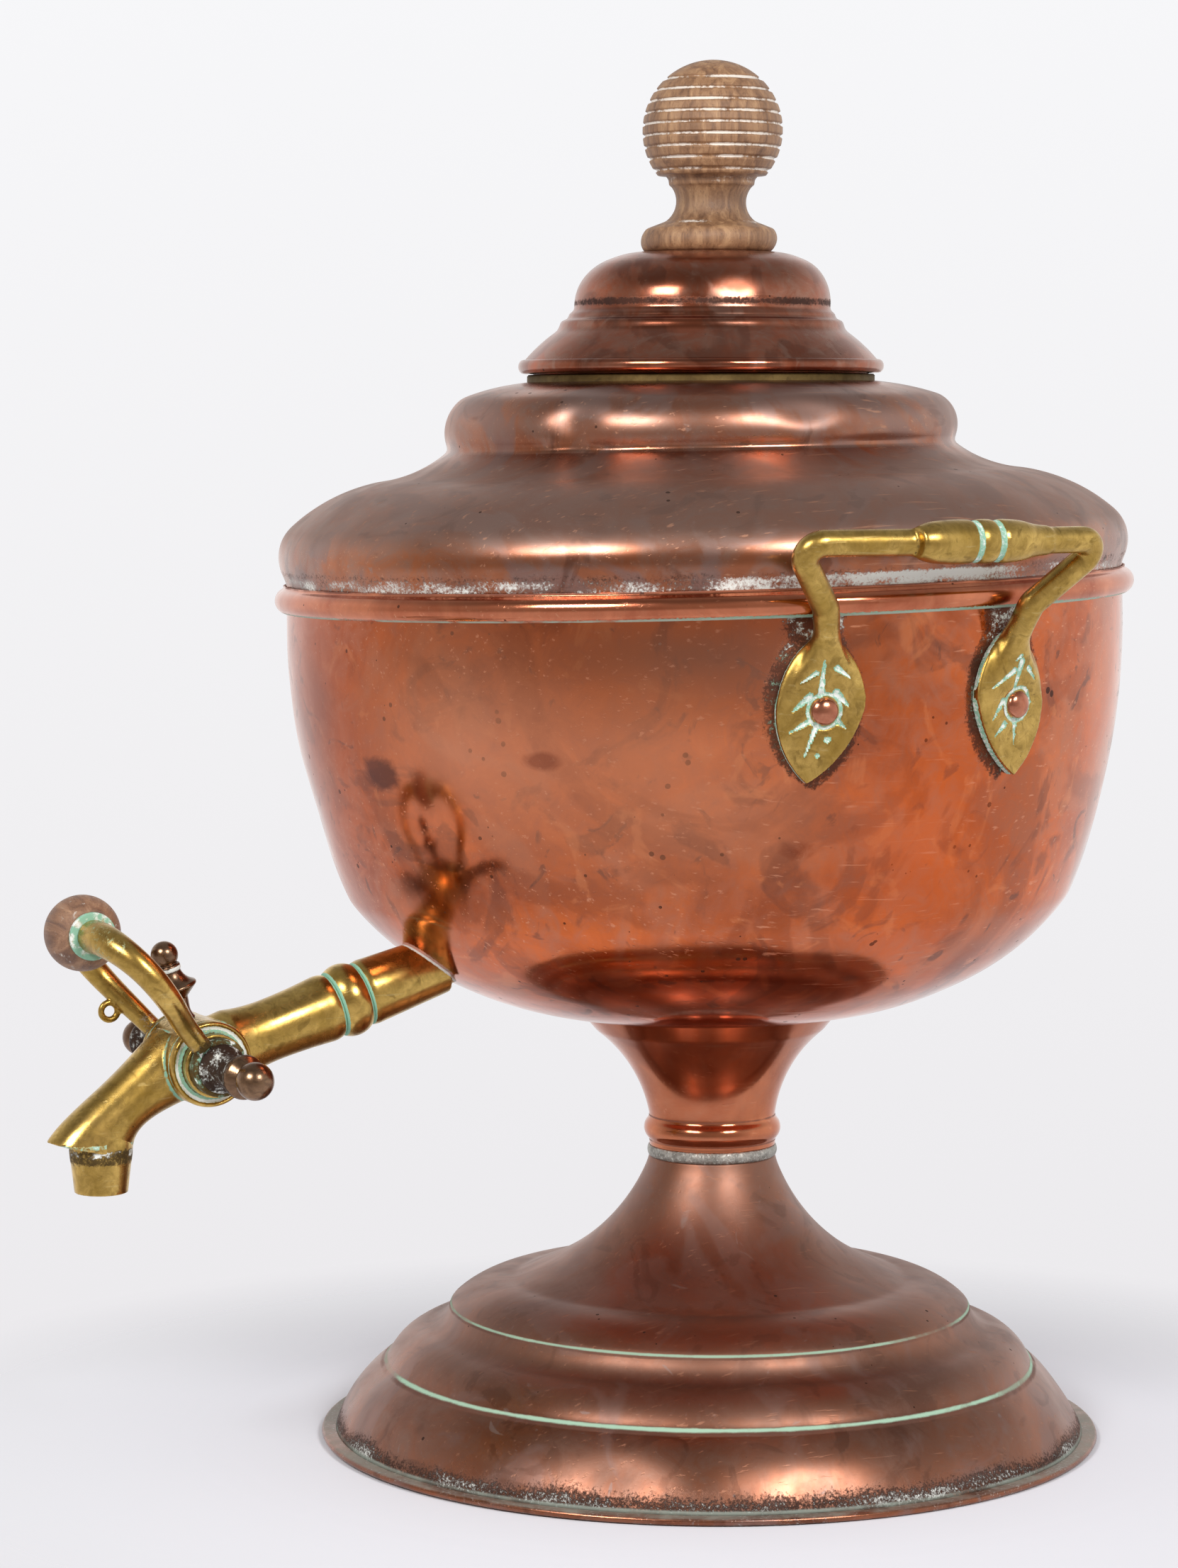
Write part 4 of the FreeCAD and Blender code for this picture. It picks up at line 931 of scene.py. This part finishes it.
def leaf_strokes(turn_side):
    """The lines cut in a leaf, from its rivet: (start across, start up, end across, end up, half width)."""
    if turn_side < 0:
        return [(-1.4, 4.8, -1.1, 14.4, 1.0), (-4.6, 4.1, -9.2, -0.1, 1.1), (-5.0, -3.3, -9.9, -6.2, 0.9),
                (-2.1, -4.0, -5.3, -12.9, 0.9), (3.2, 5.2, 7.1, 1.3, 1.1), (-3.2, 10.9, -7.4, 8.0, 0.7),
                (2.8, 12.3, 7.1, 9.4, 0.9), (1.2, -8.5, 1.3, -9.1, 1.1), (-1.6, -13.0, -1.7, -13.5, 0.8),
                (4.2, -3.2, 6.4, -5.0, 0.8)]
    return [(-1.9, 12.6, -2.6, 2.1, 1.0), (-4.1, 9.9, -10.7, 5.0, 0.9), (-5.9, 1.1, -9.2, -4.3, 0.9),
            (-4.5, -5.7, -7.8, -9.2, 0.9), (1.6, 10.6, 5.8, 7.1, 0.8), (-0.6, -4.3, 0.2, -11.6, 0.9),
            (3.6, 1.5, 5.8, 0.4, 0.8), (-2.8, 14.2, -4.4, 12.8, 0.6)]


def stroke_mask(across, up, strokes):
    """How deep each point lies in a cut stroke, from nought outside to one. Strokes taper to a point."""
    mask = np.zeros(len(across))
    for x0, y0, x1, y1, half in strokes:
        run = np.array([x1 - x0, y1 - y0])
        length = np.hypot(*run)
        share = np.clip(((across - x0) * run[0] + (up - y0) * run[1]) / length ** 2, 0, 1)
        away = np.hypot(across - x0 - share * run[0], up - y0 - share * run[1])
        width = half * (1.0 - 0.72 * share)
        mask = np.maximum(mask, np.clip(1.25 - away / width, 0, 1))
    return np.clip(mask, 0, 1)


class URN_OT_handles(bpy.types.Operator):
    """Two cast handles with cut leaves, and the rivets that hold them"""
    bl_idname = "urn.handles"
    bl_label = "Handles"

    def execute(self, context):
        looks = context.scene.urn_brass
        brass = bpy.data.materials["cast brass"]
        for node, home in zip(("handle_right", "handle_left"), handle_turns):
            necks = []
            for side, shift in ((-1, -0.2), (1, -3.0)):
                rings = []
                for up, out, wide, thick in (
                        (23.0, 134.4, 4.0, 3.9), (19.0, 133.9, 4.7, 3.5), (15.0, 133.3, 6.4, 2.9),
                        (11.0, 132.7, 8.6, 2.2), (7.0, 132.2, 10.3, 1.5), (3.0, 131.7, 11.0, 0.7)):
                    way = math.radians(home + side * leaf_turn) + shift * min(1, up / 16) / 131
                    ring = []
                    for turn in np.arange(28) * math.tau / 28:
                        reach = out + thick * math.cos(turn)
                        across = wide * math.sin(turn)
                        ring.append((reach * math.cos(way) - across * math.sin(way),
                                     reach * math.sin(way) + across * math.cos(way), z_rivet + up))
                    rings.append(ring)
                necks.append(shell(rings[::-1]))
            handle = cast_copy(node + "_cast", node, looks.grain, 4, necks)
            points = mesh_points(handle)
            turned = wrapped(turn_angle(points) - home)
            relax(handle, 0.9 * band(points[:, 2] - z_rivet, 14, 9, 4) * (np.abs(turned) < 25), 26)
            relax(handle, 0.6 * band(points[:, 2], z_bar, 12, 4), 6)
            points = mesh_points(handle)
            reach = np.hypot(points[:, 0], points[:, 1])
            turned = wrapped(turn_angle(points) - home)
            up = points[:, 2] - z_rivet
            hollow = hollowness(handle, 10)
            green = np.clip(hollow / 0.3, 0, 1) * 0.3
            lime = np.clip(hollow / 0.4, 0, 1) * 0.2
            soot = np.clip(hollow / 0.2, 0, 1) * 0.6
            gap = reach - np.interp(points[:, 2], bowl_side[:, 1], bowl_side[:, 0])
            push = np.zeros(len(points))
            for side in (-1, 1):
                across = np.radians(turned - side * leaf_turn) * reach
                flat = (np.abs(across) < 15) & (up > -23) & (up < 21)
                front = flat & (gap > 1.3)
                cut = stroke_mask(across, up, leaf_strokes(side)) * front
                ring = band(np.hypot(across, up), 4.9, 0.35, 0.5) * front
                push += looks.stroke * (cut * 1.1 + ring * 0.7)
                green = np.maximum(green, np.where(cut > 0.1, 0.8, 0))
                lime = np.maximum(lime, np.where(cut > 0.35, 0.5 + 0.2 * ripple(points, 1.6, 17), 0))
                lime = np.maximum(lime, ring * (0.5 + 0.25 * ripple(points, 2.0, 18)))
                green = np.maximum(green, ring * 0.8)
                wall_face = flat & (gap > 0.5) & (gap < 1.5) & (hollow < 0.02) & (across < 4)
                green = np.maximum(green, np.where(wall_face, 0.75, 0))
                lime = np.maximum(lime, np.where(wall_face, 0.35 + 0.25 * ripple(points, 4.0, 26), 0))
                back = flat & (gap < 0.7)
                green = np.maximum(green, np.where(back, 0.7, 0))
                lime = np.maximum(lime, np.where(back, 0.5, 0))
                push += np.where(flat & (gap < 0.6), 1.0, 0)
                soot = np.maximum(soot, 0.3 * front * band(np.hypot(across, up), 6, 1.5, 4))
            local_side = np.sin(np.radians(turned)) * reach
            for centre in bar_grooves:
                groove = band(local_side, centre, 0.9, 0.6) * band(points[:, 2], z_rivet + bar_rise, 8, 1)
                green = np.maximum(green, groove * 0.85)
                lime = np.maximum(lime, groove * (0.4 + 0.2 * ripple(points, 2.0, 19)))
            push_in(points, push, reach)
            set_points(handle, points)
            keep(handle, verdigris=green, lime=lime, soot=soot, film=0.12 + 0.12 * ripple(points, 14.0, 27))
            place(handle, "urn", "brass", brass, node)

        # Copper rivets: a domed head and its shank, one on each point of a small mesh.
        copper = metal(
            "copper rivet", ("D08A6C", "A5604A", "B87A62", "E8B090"), (0.12, 0.3), cloud=5.0, relief=0.1)
        ways = []
        for home in handle_turns:
            for side in (-leaf_turn, leaf_turn):
                turn = math.radians(home + side)
                ways.append((math.cos(turn), math.sin(turn), 0.0))
        tree = rivet_tree(copper)
        for name, node, reach, radius, rise, shank in (
                ("handle_rivet_heads", "handle_rivets", 131.7, 4.1, 2.5, 5.0),
                ("inner_burrs", "rivet_burrs", 127.2, 4.6, 0.7, 2.6)):
            rivets = new_object(name, [(x * reach, y * reach, z_rivet) for x, y, _ in ways], [])
            out = rivets.data.attributes.new("out", "FLOAT_VECTOR", "POINT")
            out.data.foreach_set("vector", np.array(ways, np.float32).ravel())
            repeat(rivets, tree, {"Head radius": radius * MM, "Head rise": rise * MM,
                                  "Shank radius": shank_radius * MM, "Shank length": shank * MM})
            place(rivets, "urn", "copper_bowl", None, node)
        return {"FINISHED"}


def rivet_tree(finish):
    """A node tree that stands a domed rivet on each point, along the point's own direction."""
    tree = bpy.data.node_groups.new("Rivets on points", "GeometryNodeTree")
    tree.interface.new_socket("Points", in_out="INPUT", socket_type="NodeSocketGeometry")
    for name, size in (
            ("Head radius", 0.004), ("Head rise", 0.0024), ("Shank radius", 0.002), ("Shank length", 0.005)):
        socket = tree.interface.new_socket(name, in_out="INPUT", socket_type="NodeSocketFloat")
        socket.default_value = size
    tree.interface.new_socket("Rivets", in_out="OUTPUT", socket_type="NodeSocketGeometry")
    enter = tree.nodes.new("NodeGroupInput")
    ball = add(tree, "GeometryNodeMeshUVSphere", {
        "Segments": 40, "Rings": 20, "Radius": enter.outputs["Head radius"]})
    flat = add(tree, "ShaderNodeMath", {
        0: enter.outputs["Head rise"], 1: enter.outputs["Head radius"]}, operation="DIVIDE")
    scale = add(tree, "ShaderNodeCombineXYZ", {0: 1.0, 1: 1.0, 2: flat})
    head = add(tree, "GeometryNodeTransform", {"Geometry": ball, "Scale": scale})
    shank = add(tree, "GeometryNodeMeshCylinder", {
        "Vertices": 24, "Radius": enter.outputs["Shank radius"], "Depth": enter.outputs["Shank length"]})
    drop = add(tree, "ShaderNodeMath", {0: enter.outputs["Shank length"], 1: -0.5}, operation="MULTIPLY")
    shift = add(tree, "ShaderNodeCombineXYZ", {2: drop})
    shank = add(tree, "GeometryNodeTransform", {"Geometry": shank, "Translation": shift})
    join = tree.nodes.new("GeometryNodeJoinGeometry")
    tree.links.new(head, join.inputs[0])
    tree.links.new(shank, join.inputs[0])
    way = add(tree, "GeometryNodeInputNamedAttribute", {"Name": "out"}, data_type="FLOAT_VECTOR")
    turn = add(tree, "FunctionNodeAlignRotationToVector", {"Vector": way}, axis="Z")
    stood = add(tree, "GeometryNodeInstanceOnPoints", {
        "Points": enter.outputs["Points"], "Instance": join.outputs[0], "Rotation": turn})
    solid = add(tree, "GeometryNodeRealizeInstances", {"Geometry": stood})
    smooth = add(tree, "GeometryNodeSetShadeSmooth", {"Geometry": solid})
    made = add(tree, "GeometryNodeSetMaterial", {"Geometry": smooth, "Material": finish})
    leave = tree.nodes.new("NodeGroupOutput")
    tree.links.new(made, leave.inputs[0])
    return tree


def repeat(thing, tree, sizes):
    """Runs a node tree on an object and leaves it a plain mesh."""
    modifier = thing.modifiers.new("Repeat", "NODES")
    modifier.node_group = tree
    for item in tree.interface.items_tree:
        if item.in_out == "INPUT" and item.name in sizes:
            modifier[item.identifier] = sizes[item.name]
    settle(thing)


class URN_OT_tap(bpy.types.Operator):
    """Tap body, shank, coupling, nozzle and top finial"""
    bl_idname = "urn.tap"
    bl_label = "Tap body"

    def execute(self, context):
        looks = context.scene.urn_brass
        brass = bpy.data.materials["cast brass"]
        bronze = bpy.data.materials["dark bronze"]
        up_tap = np.array([0.0, math.cos(tap_slope), math.sin(tap_slope)])
        off_tap = np.array([0.0, -math.sin(tap_slope), math.cos(tap_slope)])
        for name, node, passes in (
                ("tap_body_cast", "tap_body", 5), ("tap_shank_cast", "tap_shank", 4),
                ("tap_coupling_cast", "tap_coupling", 3), ("tap_nozzle_cast", "tap_nozzle", 3)):
            collar = []
            if node == "tap_nozzle":
                rings = []
                for radius, height in (
                        (6.2, 101.0), (9.1, 101.0), (9.4, 104.0), (9.35, 107.0), (9.0, 109.5), (6.2, 109.5)):
                    rings.append([(radius * math.sin(turn), nozzle_y + radius * math.cos(turn), height)
                                  for turn in np.arange(48) * math.tau / 48])
                collar = [shell(rings, closed=True)]
            cast = cast_copy(name, node, looks.grain, passes, collar)
            points = mesh_points(cast)
            hollow = hollowness(cast, 10)
            out = points - pivot
            along = out @ up_tap
            green = np.clip(hollow / 0.2, 0, 1) * 0.7
            for seam in coupling_seams:
                green = np.maximum(green, band(along, seam, 0.5, 0.45) * 0.95)
            lime = np.clip(hollow / 0.35, 0, 1) * 0.4
            soot = np.clip(hollow / 0.4, 0, 1) * 0.3
            side = np.abs(out[:, 0])
            around = np.hypot(out[:, 1], out[:, 2])
            if node == "tap_body":
                face = (side > 12.2) & (around < 13.4)
                ring = np.where(face, band(around, 10.9, 0.35, 0.5), 0)
                lime = np.maximum(lime, ring * 0.66)
                green = np.maximum(green, np.where(face, band(around, 10.4, 0.8, 0.5) * 0.6, 0))
                lips = band(side, 11.1, 0.3, 0.3) * band(around, 12.5, 1.2, 0.8)
                lime = np.maximum(lime, lips * 0.4)
                green = np.maximum(green, lips * 0.6)
                soot = np.maximum(soot, np.where(face & (around < 9.9), 0.8, 0))
                soot = np.maximum(soot, 0.4 * band(along, -6, 8, 8) * (out[:, 2] > 4))
                crust = mottle(points, 2.4, 15)
                mouth = band(points[:, 2], 106.4, 0.5, 0.8) * (out[:, 1] < -18)
                green = np.maximum(green, mouth * (0.2 + 0.55 * crust))
                lime = np.maximum(lime, mouth * 0.6 * crust)
            if node == "tap_nozzle":
                crust = mottle(points, 2.4, 16)
                seam = band(points[:, 2], 104.0, 0.7, 1.0)
                soot = np.maximum(soot, 0.6 * band(points[:, 2], 103.0, 1.6, 2.0))
                lime = np.maximum(lime, seam * 0.75 * crust)
                green = np.maximum(green, seam * 0.55 * crust)
            if node == "tap_shank":
                gap = np.hypot(points[:, 0], points[:, 1])
                gap -= np.interp(points[:, 2], bowl_side[:, 1], bowl_side[:, 0])
                root = np.clip(1.4 - gap / 1.6, 0, 1)
                lime = np.maximum(lime, band(gap, 1.6, 0.7, 0.7) * 0.7)
                soot = np.maximum(soot, root * 0.9)
            keep(cast, verdigris=green, lime=lime, soot=soot)
            place(cast, "urn", "brass", brass, node)
        finial = cast_copy("top_finial_cast", "top_finial", 0.24, 2)
        keep(finial, soot=np.clip(hollowness(finial, 8) / 0.2, 0, 1) * 0.8,
             lime=band((mesh_points(finial) - pivot) @ off_tap, 28.6, 0.5, 0.5) * 0.62)
        place(finial, "urn", "bronze", bronze, "top_finial")
        return {"FINISHED"}


class URN_OT_yoke(bpy.types.Operator):
    """Plug, yoke arms, wooden grip and side finials that turn together"""
    bl_idname = "urn.yoke"
    bl_label = "Tap key"

    def execute(self, context):
        looks = context.scene.urn_brass
        brass = bpy.data.materials["cast brass"]
        bronze = bpy.data.materials["dark bronze"]
        for node in ("yoke_near_arm", "yoke_far_arm", "tap_plug", "plug_washer"):
            grain = looks.grain if node.startswith("yoke") else 0.3
            cast = cast_copy(node + "_cast", node, grain, 3)
            points = mesh_points(cast)
            out = points - pivot
            hollow = hollowness(cast, 8)
            around = np.hypot(out[:, 1], out[:, 2])
            foot = np.clip((13.0 - around) / 5.0, 0, 1)
            crust = mottle(points, 3.2, 9)
            green = np.clip(hollow / 0.25, 0, 1) * 0.7
            lime = np.clip(hollow / 0.35, 0, 1) * 0.35
            soot = np.zeros(len(points))
            if node.startswith("yoke"):
                soot = foot * 0.9
                green = np.maximum(green, foot * (0.1 + 0.55 * crust))
                low = np.clip((22.0 - around) / 8.0, 0, 1) * (around > 10)
                lime = np.maximum(lime, low * (0.05 + 0.45 * crust))
                lime = np.maximum(lime, foot * 0.6 * (crust > 0.68))
                top = np.clip((around - 49.5) / 2.0, 0, 1) * (np.abs(out[:, 0]) < 11.5)
                lime = np.maximum(lime, top * 0.4 * crust)
                green = np.maximum(green, np.clip((around - 46.0) / 4.0, 0, 1) * (0.15 + 0.3 * crust))
            else:
                head = np.abs(out[:, 0]) > 13.9
                inner = np.clip((9.2 - around) / 1.2, 0, 1) * head
                green = np.maximum(green, inner * 0.38 * crust)
                lime = np.maximum(lime, inner * 0.16 * (1 - crust))
                soot = inner * 0.95 + 0.1
            keep(cast, verdigris=green, lime=lime, soot=soot)
            place(cast, "tap_key", "brass", brass, node)
        for node, sign in (("near_finial", 1), ("far_finial", -1)):
            cast = cast_copy(node + "_cast", node, 0.3, 2)
            points = mesh_points(cast)
            out = (points[:, 0] - pivot[0]) * sign
            hollow = hollowness(cast, 8)
            crust = mottle(points, 2.6, 11)
            inner = np.clip((43.0 - out) / 3.0, 0, 1)
            keep(cast, lime=np.maximum(np.clip(hollow / 0.3, 0, 1) * 0.4, inner * (0.1 + 0.5 * crust)),
                 verdigris=inner * (0.05 + 0.4 * crust), soot=inner * 0.8)
            place(cast, "tap_key", "bronze", bronze, node)

        # Turned wood, bare and stained by steam, with lime in its pores.
        wood = turned_wood("steamed wood grip", ("AC8668", "8C674E", "664838", "4A3228"), 4.2, "D9D5CC", "X")
        grip = cast_copy("grip_turned", "grip", 0.4, 4)
        points = mesh_points(grip)
        crust = mottle(points, 2.2, 13)
        end = np.clip((np.abs(points[:, 0] - pivot[0]) - 8.4) / 1.0, 0, 1)
        keep(grip, lime=np.maximum(0.46 * crust, end * (0.2 + 0.5 * crust)), soot=0.3 * end * (1 - crust))
        place(grip, "tap_key", "grip_wood", wood, "grip")
        ferrules = cast_copy("ferrules_cast", "grip_ferrules", 0.25, 2)
        crust = mottle(mesh_points(ferrules), 2.0, 20)
        keep(ferrules, lime=0.7 * crust, verdigris=0.9 - 0.5 * crust)
        place(ferrules, "tap_key", "brass", brass, "grip_ferrules")
        return {"FINISHED"}


class URN_OT_heater(bpy.types.Operator):
    """Heater sleeve and cast-iron heater inside the bowl"""
    bl_idname = "urn.heater"
    bl_label = "Heater"

    def execute(self, context):
        # Tinned sheet gone grey, and sand-cast iron with fire scale.
        tinned = metal(
            "tinned sheet", ("A8A29A", "7E7870", "6A625A", "C8C2BA"), (0.35, 0.55), cloud=18.0, relief=0.15)
        iron = metal("sand cast iron", ("4A4644", "35302E", "5A4438", "6A6462"), (0.55, 0.8), cloud=9.0,
                     speck=1.0, relief=0.9)
        sleeve_line = [(0, 135.8), (32.0, 135.8), (32.0, 285.8), (30.8, 285.8), (30.8, 137.0), (0, 137.0)]
        sleeve = spun("sleeve", profile(sleeve_line, 3.0, 0), 128, closed=False)
        place(sleeve, "urn", "copper_lid", tinned, "heater_sleeve")
        finish_node("heating_iron", iron)
        return {"FINISHED"}


class URN_OT_stage(bpy.types.Operator):
    """Paper floor, room light, two soft boxes and the camera"""
    bl_idname = "urn.stage"
    bl_label = "Stage"

    def execute(self, context):
        scene = context.scene
        stage = scene.urn_stage
        # Matt white paper under the urn, which fades into the pale room further out.
        paper = bpy.data.materials.new("matt paper floor")
        paper.use_nodes = True
        tree = paper.node_tree
        tree.nodes.clear()
        fade = add(tree, "ShaderNodeAttribute", out=2, attribute_name="fade")
        matt = add(tree, "ShaderNodeBsdfPrincipled", {
            "Base Color": linear(stage.wall), "Roughness": 0.9, "Specular IOR Level": 0.1})
        clear = add(tree, "ShaderNodeBsdfTransparent")
        mixed = add(tree, "ShaderNodeMixShader", {0: fade, 1: matt, 2: clear})
        add(tree, "ShaderNodeOutputMaterial", {"Surface": mixed})
        turns = np.arange(96) * math.tau / 96
        rings = [[(reach * math.cos(turn), reach * math.sin(turn), -0.02) for turn in turns]
                 for reach in list(range(20, 400, 12)) + [600, 1200]]
        points, faces = shell(rings[::-1])
        floor = new_object("paper_floor", points, faces[:-2] + faces[-1:])
        reach = np.hypot(points[:, 0], points[:, 1])
        keep(floor, fade=np.clip((reach - 160) / 130, 0, 1) ** 0.8)
        floor.data.materials.append(paper)
        aside = Vector((sideways[0], sideways[1], 0))
        front = Vector((towards[0], towards[1], 0))

        # The room is pale behind the urn and dimmer behind the camera. The view itself sees the paper's
        # colour with painted shade, lighter at the top and darker at the bottom.
        world = bpy.data.worlds.new("studio room")
        scene.world = world
        world.use_nodes = True
        tree = world.node_tree
        tree.nodes.clear()
        way = add(tree, "ShaderNodeTexCoord", out=0)
        dim = front * 0.92 - aside * 0.39
        depth = add(tree, "ShaderNodeVectorMath", {0: way, 1: tuple(dim)}, out=1, operation="DOT_PRODUCT")
        colour = add(tree, "ShaderNodeValToRGB", {"Fac": add(tree, "ShaderNodeMapRange", {
            "Value": depth, "From Min": -1.0, "From Max": 1.0})}, ramp=[
            (0.0, linear("FFFFFF")), (0.45, linear("F4F4F6")), (0.72, linear("BCB6B2")),
            (1.0, linear("A09892"))])
        rise = add(tree, "ShaderNodeSeparateXYZ", {"Vector": way}, out=2)
        below = add(tree, "ShaderNodeMapRange", {
            "Value": rise, "From Min": -0.1, "From Max": -0.34, "To Max": 0.8})
        colour = add(tree, "ShaderNodeMix", {
            "Factor": below, "A": colour, "B": linear("E4E2E6")}, out=2, data_type="RGBA")
        ceiling = add(tree, "ShaderNodeMapRange", {
            "Value": rise, "From Min": 0.25, "From Max": 0.8,
            "To Min": stage.sky, "To Max": stage.sky * 0.38},
            interpolation_type="SMOOTHSTEP")
        seen = add(tree, "ShaderNodeLightPath", out=0)
        # Painted shade on the backdrop seen from the view: darker towards the bottom.
        slope = add(tree, "ShaderNodeMapRange", {"Value": rise, "From Min": -0.26, "From Max": 0.1})
        backdrop_painted_shade = add(tree, "ShaderNodeValToRGB", {"Fac": slope}, ramp=[
            (0.0, linear("EAE8EB")), (0.5, linear("F1F0F2")), (1.0, linear("F7F7F9"))])
        colour = add(tree, "ShaderNodeMix", {
            "Factor": seen, "A": colour, "B": backdrop_painted_shade}, out=2, data_type="RGBA")
        strength = add(tree, "ShaderNodeMix", {"Factor": seen, "A": ceiling, "B": 1.0}, out=0)
        sky = add(tree, "ShaderNodeBackground", {"Color": colour, "Strength": strength})
        add(tree, "ShaderNodeOutputWorld", {"Surface": sky})

        centre = Vector((0, 0, 0.25))
        lamp_away = 1.7
        climb = math.radians(30)
        for name, turn, size in (("soft_box_left", -37, 0.55), ("soft_box_right", 30, 0.5)):
            angle = math.radians(turn)
            flat = front * math.cos(angle) + aside * math.sin(angle)
            spot = centre + flat * lamp_away * math.cos(climb) + Vector((0, 0, lamp_away * math.sin(climb)))
            lamp = bpy.data.lights.new(name, "AREA")
            lamp.shape = "RECTANGLE"
            lamp.size = size
            lamp.size_y = size * 0.8
            lamp.energy = stage.lamp
            holder = bpy.data.objects.new(name, lamp)
            holder.location = spot
            holder.rotation_euler = (centre - spot).to_track_quat("-Z", "Y").to_euler()
            scene.collection.objects.link(holder)

        camera = bpy.data.cameras.new("view")
        camera.sensor_fit = "VERTICAL"
        camera.sensor_height = 36
        camera.lens = stage.lens
        holder = bpy.data.objects.new("view", camera)
        holder.location = front * stage.away - aside * stage.aside + Vector((0, 0, stage.height))
        look = -front * math.cos(stage.pitch) - Vector((0, 0, math.sin(stage.pitch)))
        holder.rotation_euler = look.to_track_quat("-Z", "Y").to_euler()
        scene.collection.objects.link(holder)
        scene.camera = holder
        scene.view_settings.view_transform = "Standard"
        scene.view_settings.look = "None"
        return {"FINISHED"}


class URN_PT_panel(bpy.types.Panel):
    """Sizes, colours and steps of the urn"""
    bl_idname = "URN_PT_panel"
    bl_label = "Copper tea urn"
    bl_space_type = "VIEW_3D"
    bl_region_type = "UI"
    bl_category = "Tea urn"

    def draw(self, context):
        for group, steps in panel_rows:
            box = self.layout.box()
            if group:
                settings = getattr(context.scene, group)
                for name in settings.__annotations__:
                    box.prop(settings, name)
            for step in steps:
                box.operator(step)


groups = {
    "urn_foot": FootSizes, "urn_bowl": BowlSizes, "urn_shoulder": ShoulderSizes, "urn_knob": KnobSizes,
    "urn_brass": BrassSizes, "urn_stage": StageSizes}
operators = (
    URN_OT_foot, URN_OT_bowl, URN_OT_shoulder, URN_OT_lid, URN_OT_knob, URN_OT_handles, URN_OT_tap,
    URN_OT_yoke, URN_OT_heater, URN_OT_stage)
panel_rows = (
    ("urn_foot", ("urn.foot",)), ("urn_bowl", ("urn.bowl",)), ("urn_shoulder", ("urn.shoulder", "urn.lid")),
    ("urn_knob", ("urn.knob",)), ("urn_brass", ("urn.handles", "urn.tap", "urn.yoke")),
    (None, ("urn.heater",)), ("urn_stage", ("urn.stage",)))


def register():
    """Adds the sizes, the steps and the panel."""
    for group in groups.values():
        bpy.utils.register_class(group)
    for name, group in groups.items():
        setattr(bpy.types.Scene, name, bpy.props.PointerProperty(type=group))
    for step in operators + (URN_PT_panel,):
        bpy.utils.register_class(step)


def unregister():
    """Takes them away again."""
    for step in reversed(operators + (URN_PT_panel,)):
        bpy.utils.unregister_class(step)
    for name, group in groups.items():
        delattr(bpy.types.Scene, name)
        bpy.utils.unregister_class(group)


def main():
    """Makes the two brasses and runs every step."""
    register()
    looks = bpy.context.scene.urn_brass
    # Yellow brass castings, wiped on the high places and brown with lime and verdigris in the low ones.
    metal("cast brass", (looks.clean, looks.dull, looks.film, "EAD9A0"), (0.19, 0.34), cloud=16.0,
          speck=0.5, scratch=0.2, relief=0.08, smears=[(9, 0.6, "6E5628", 0.45, 0.1)])
    # Bronze turnings gone nearly black.
    metal(
        "dark bronze", ("9C7C60", "6C5242", "544236", "B09078"), (0.2, 0.34), cloud=9.0, speck=0.4,
        relief=0.1)
    bpy.ops.urn.foot()
    bpy.ops.urn.bowl()
    bpy.ops.urn.shoulder()
    bpy.ops.urn.lid()
    bpy.ops.urn.knob()
    bpy.ops.urn.handles()
    bpy.ops.urn.tap()
    bpy.ops.urn.yoke()
    bpy.ops.urn.heater()
    bpy.ops.urn.stage()


if __name__ == "__main__":
    main()
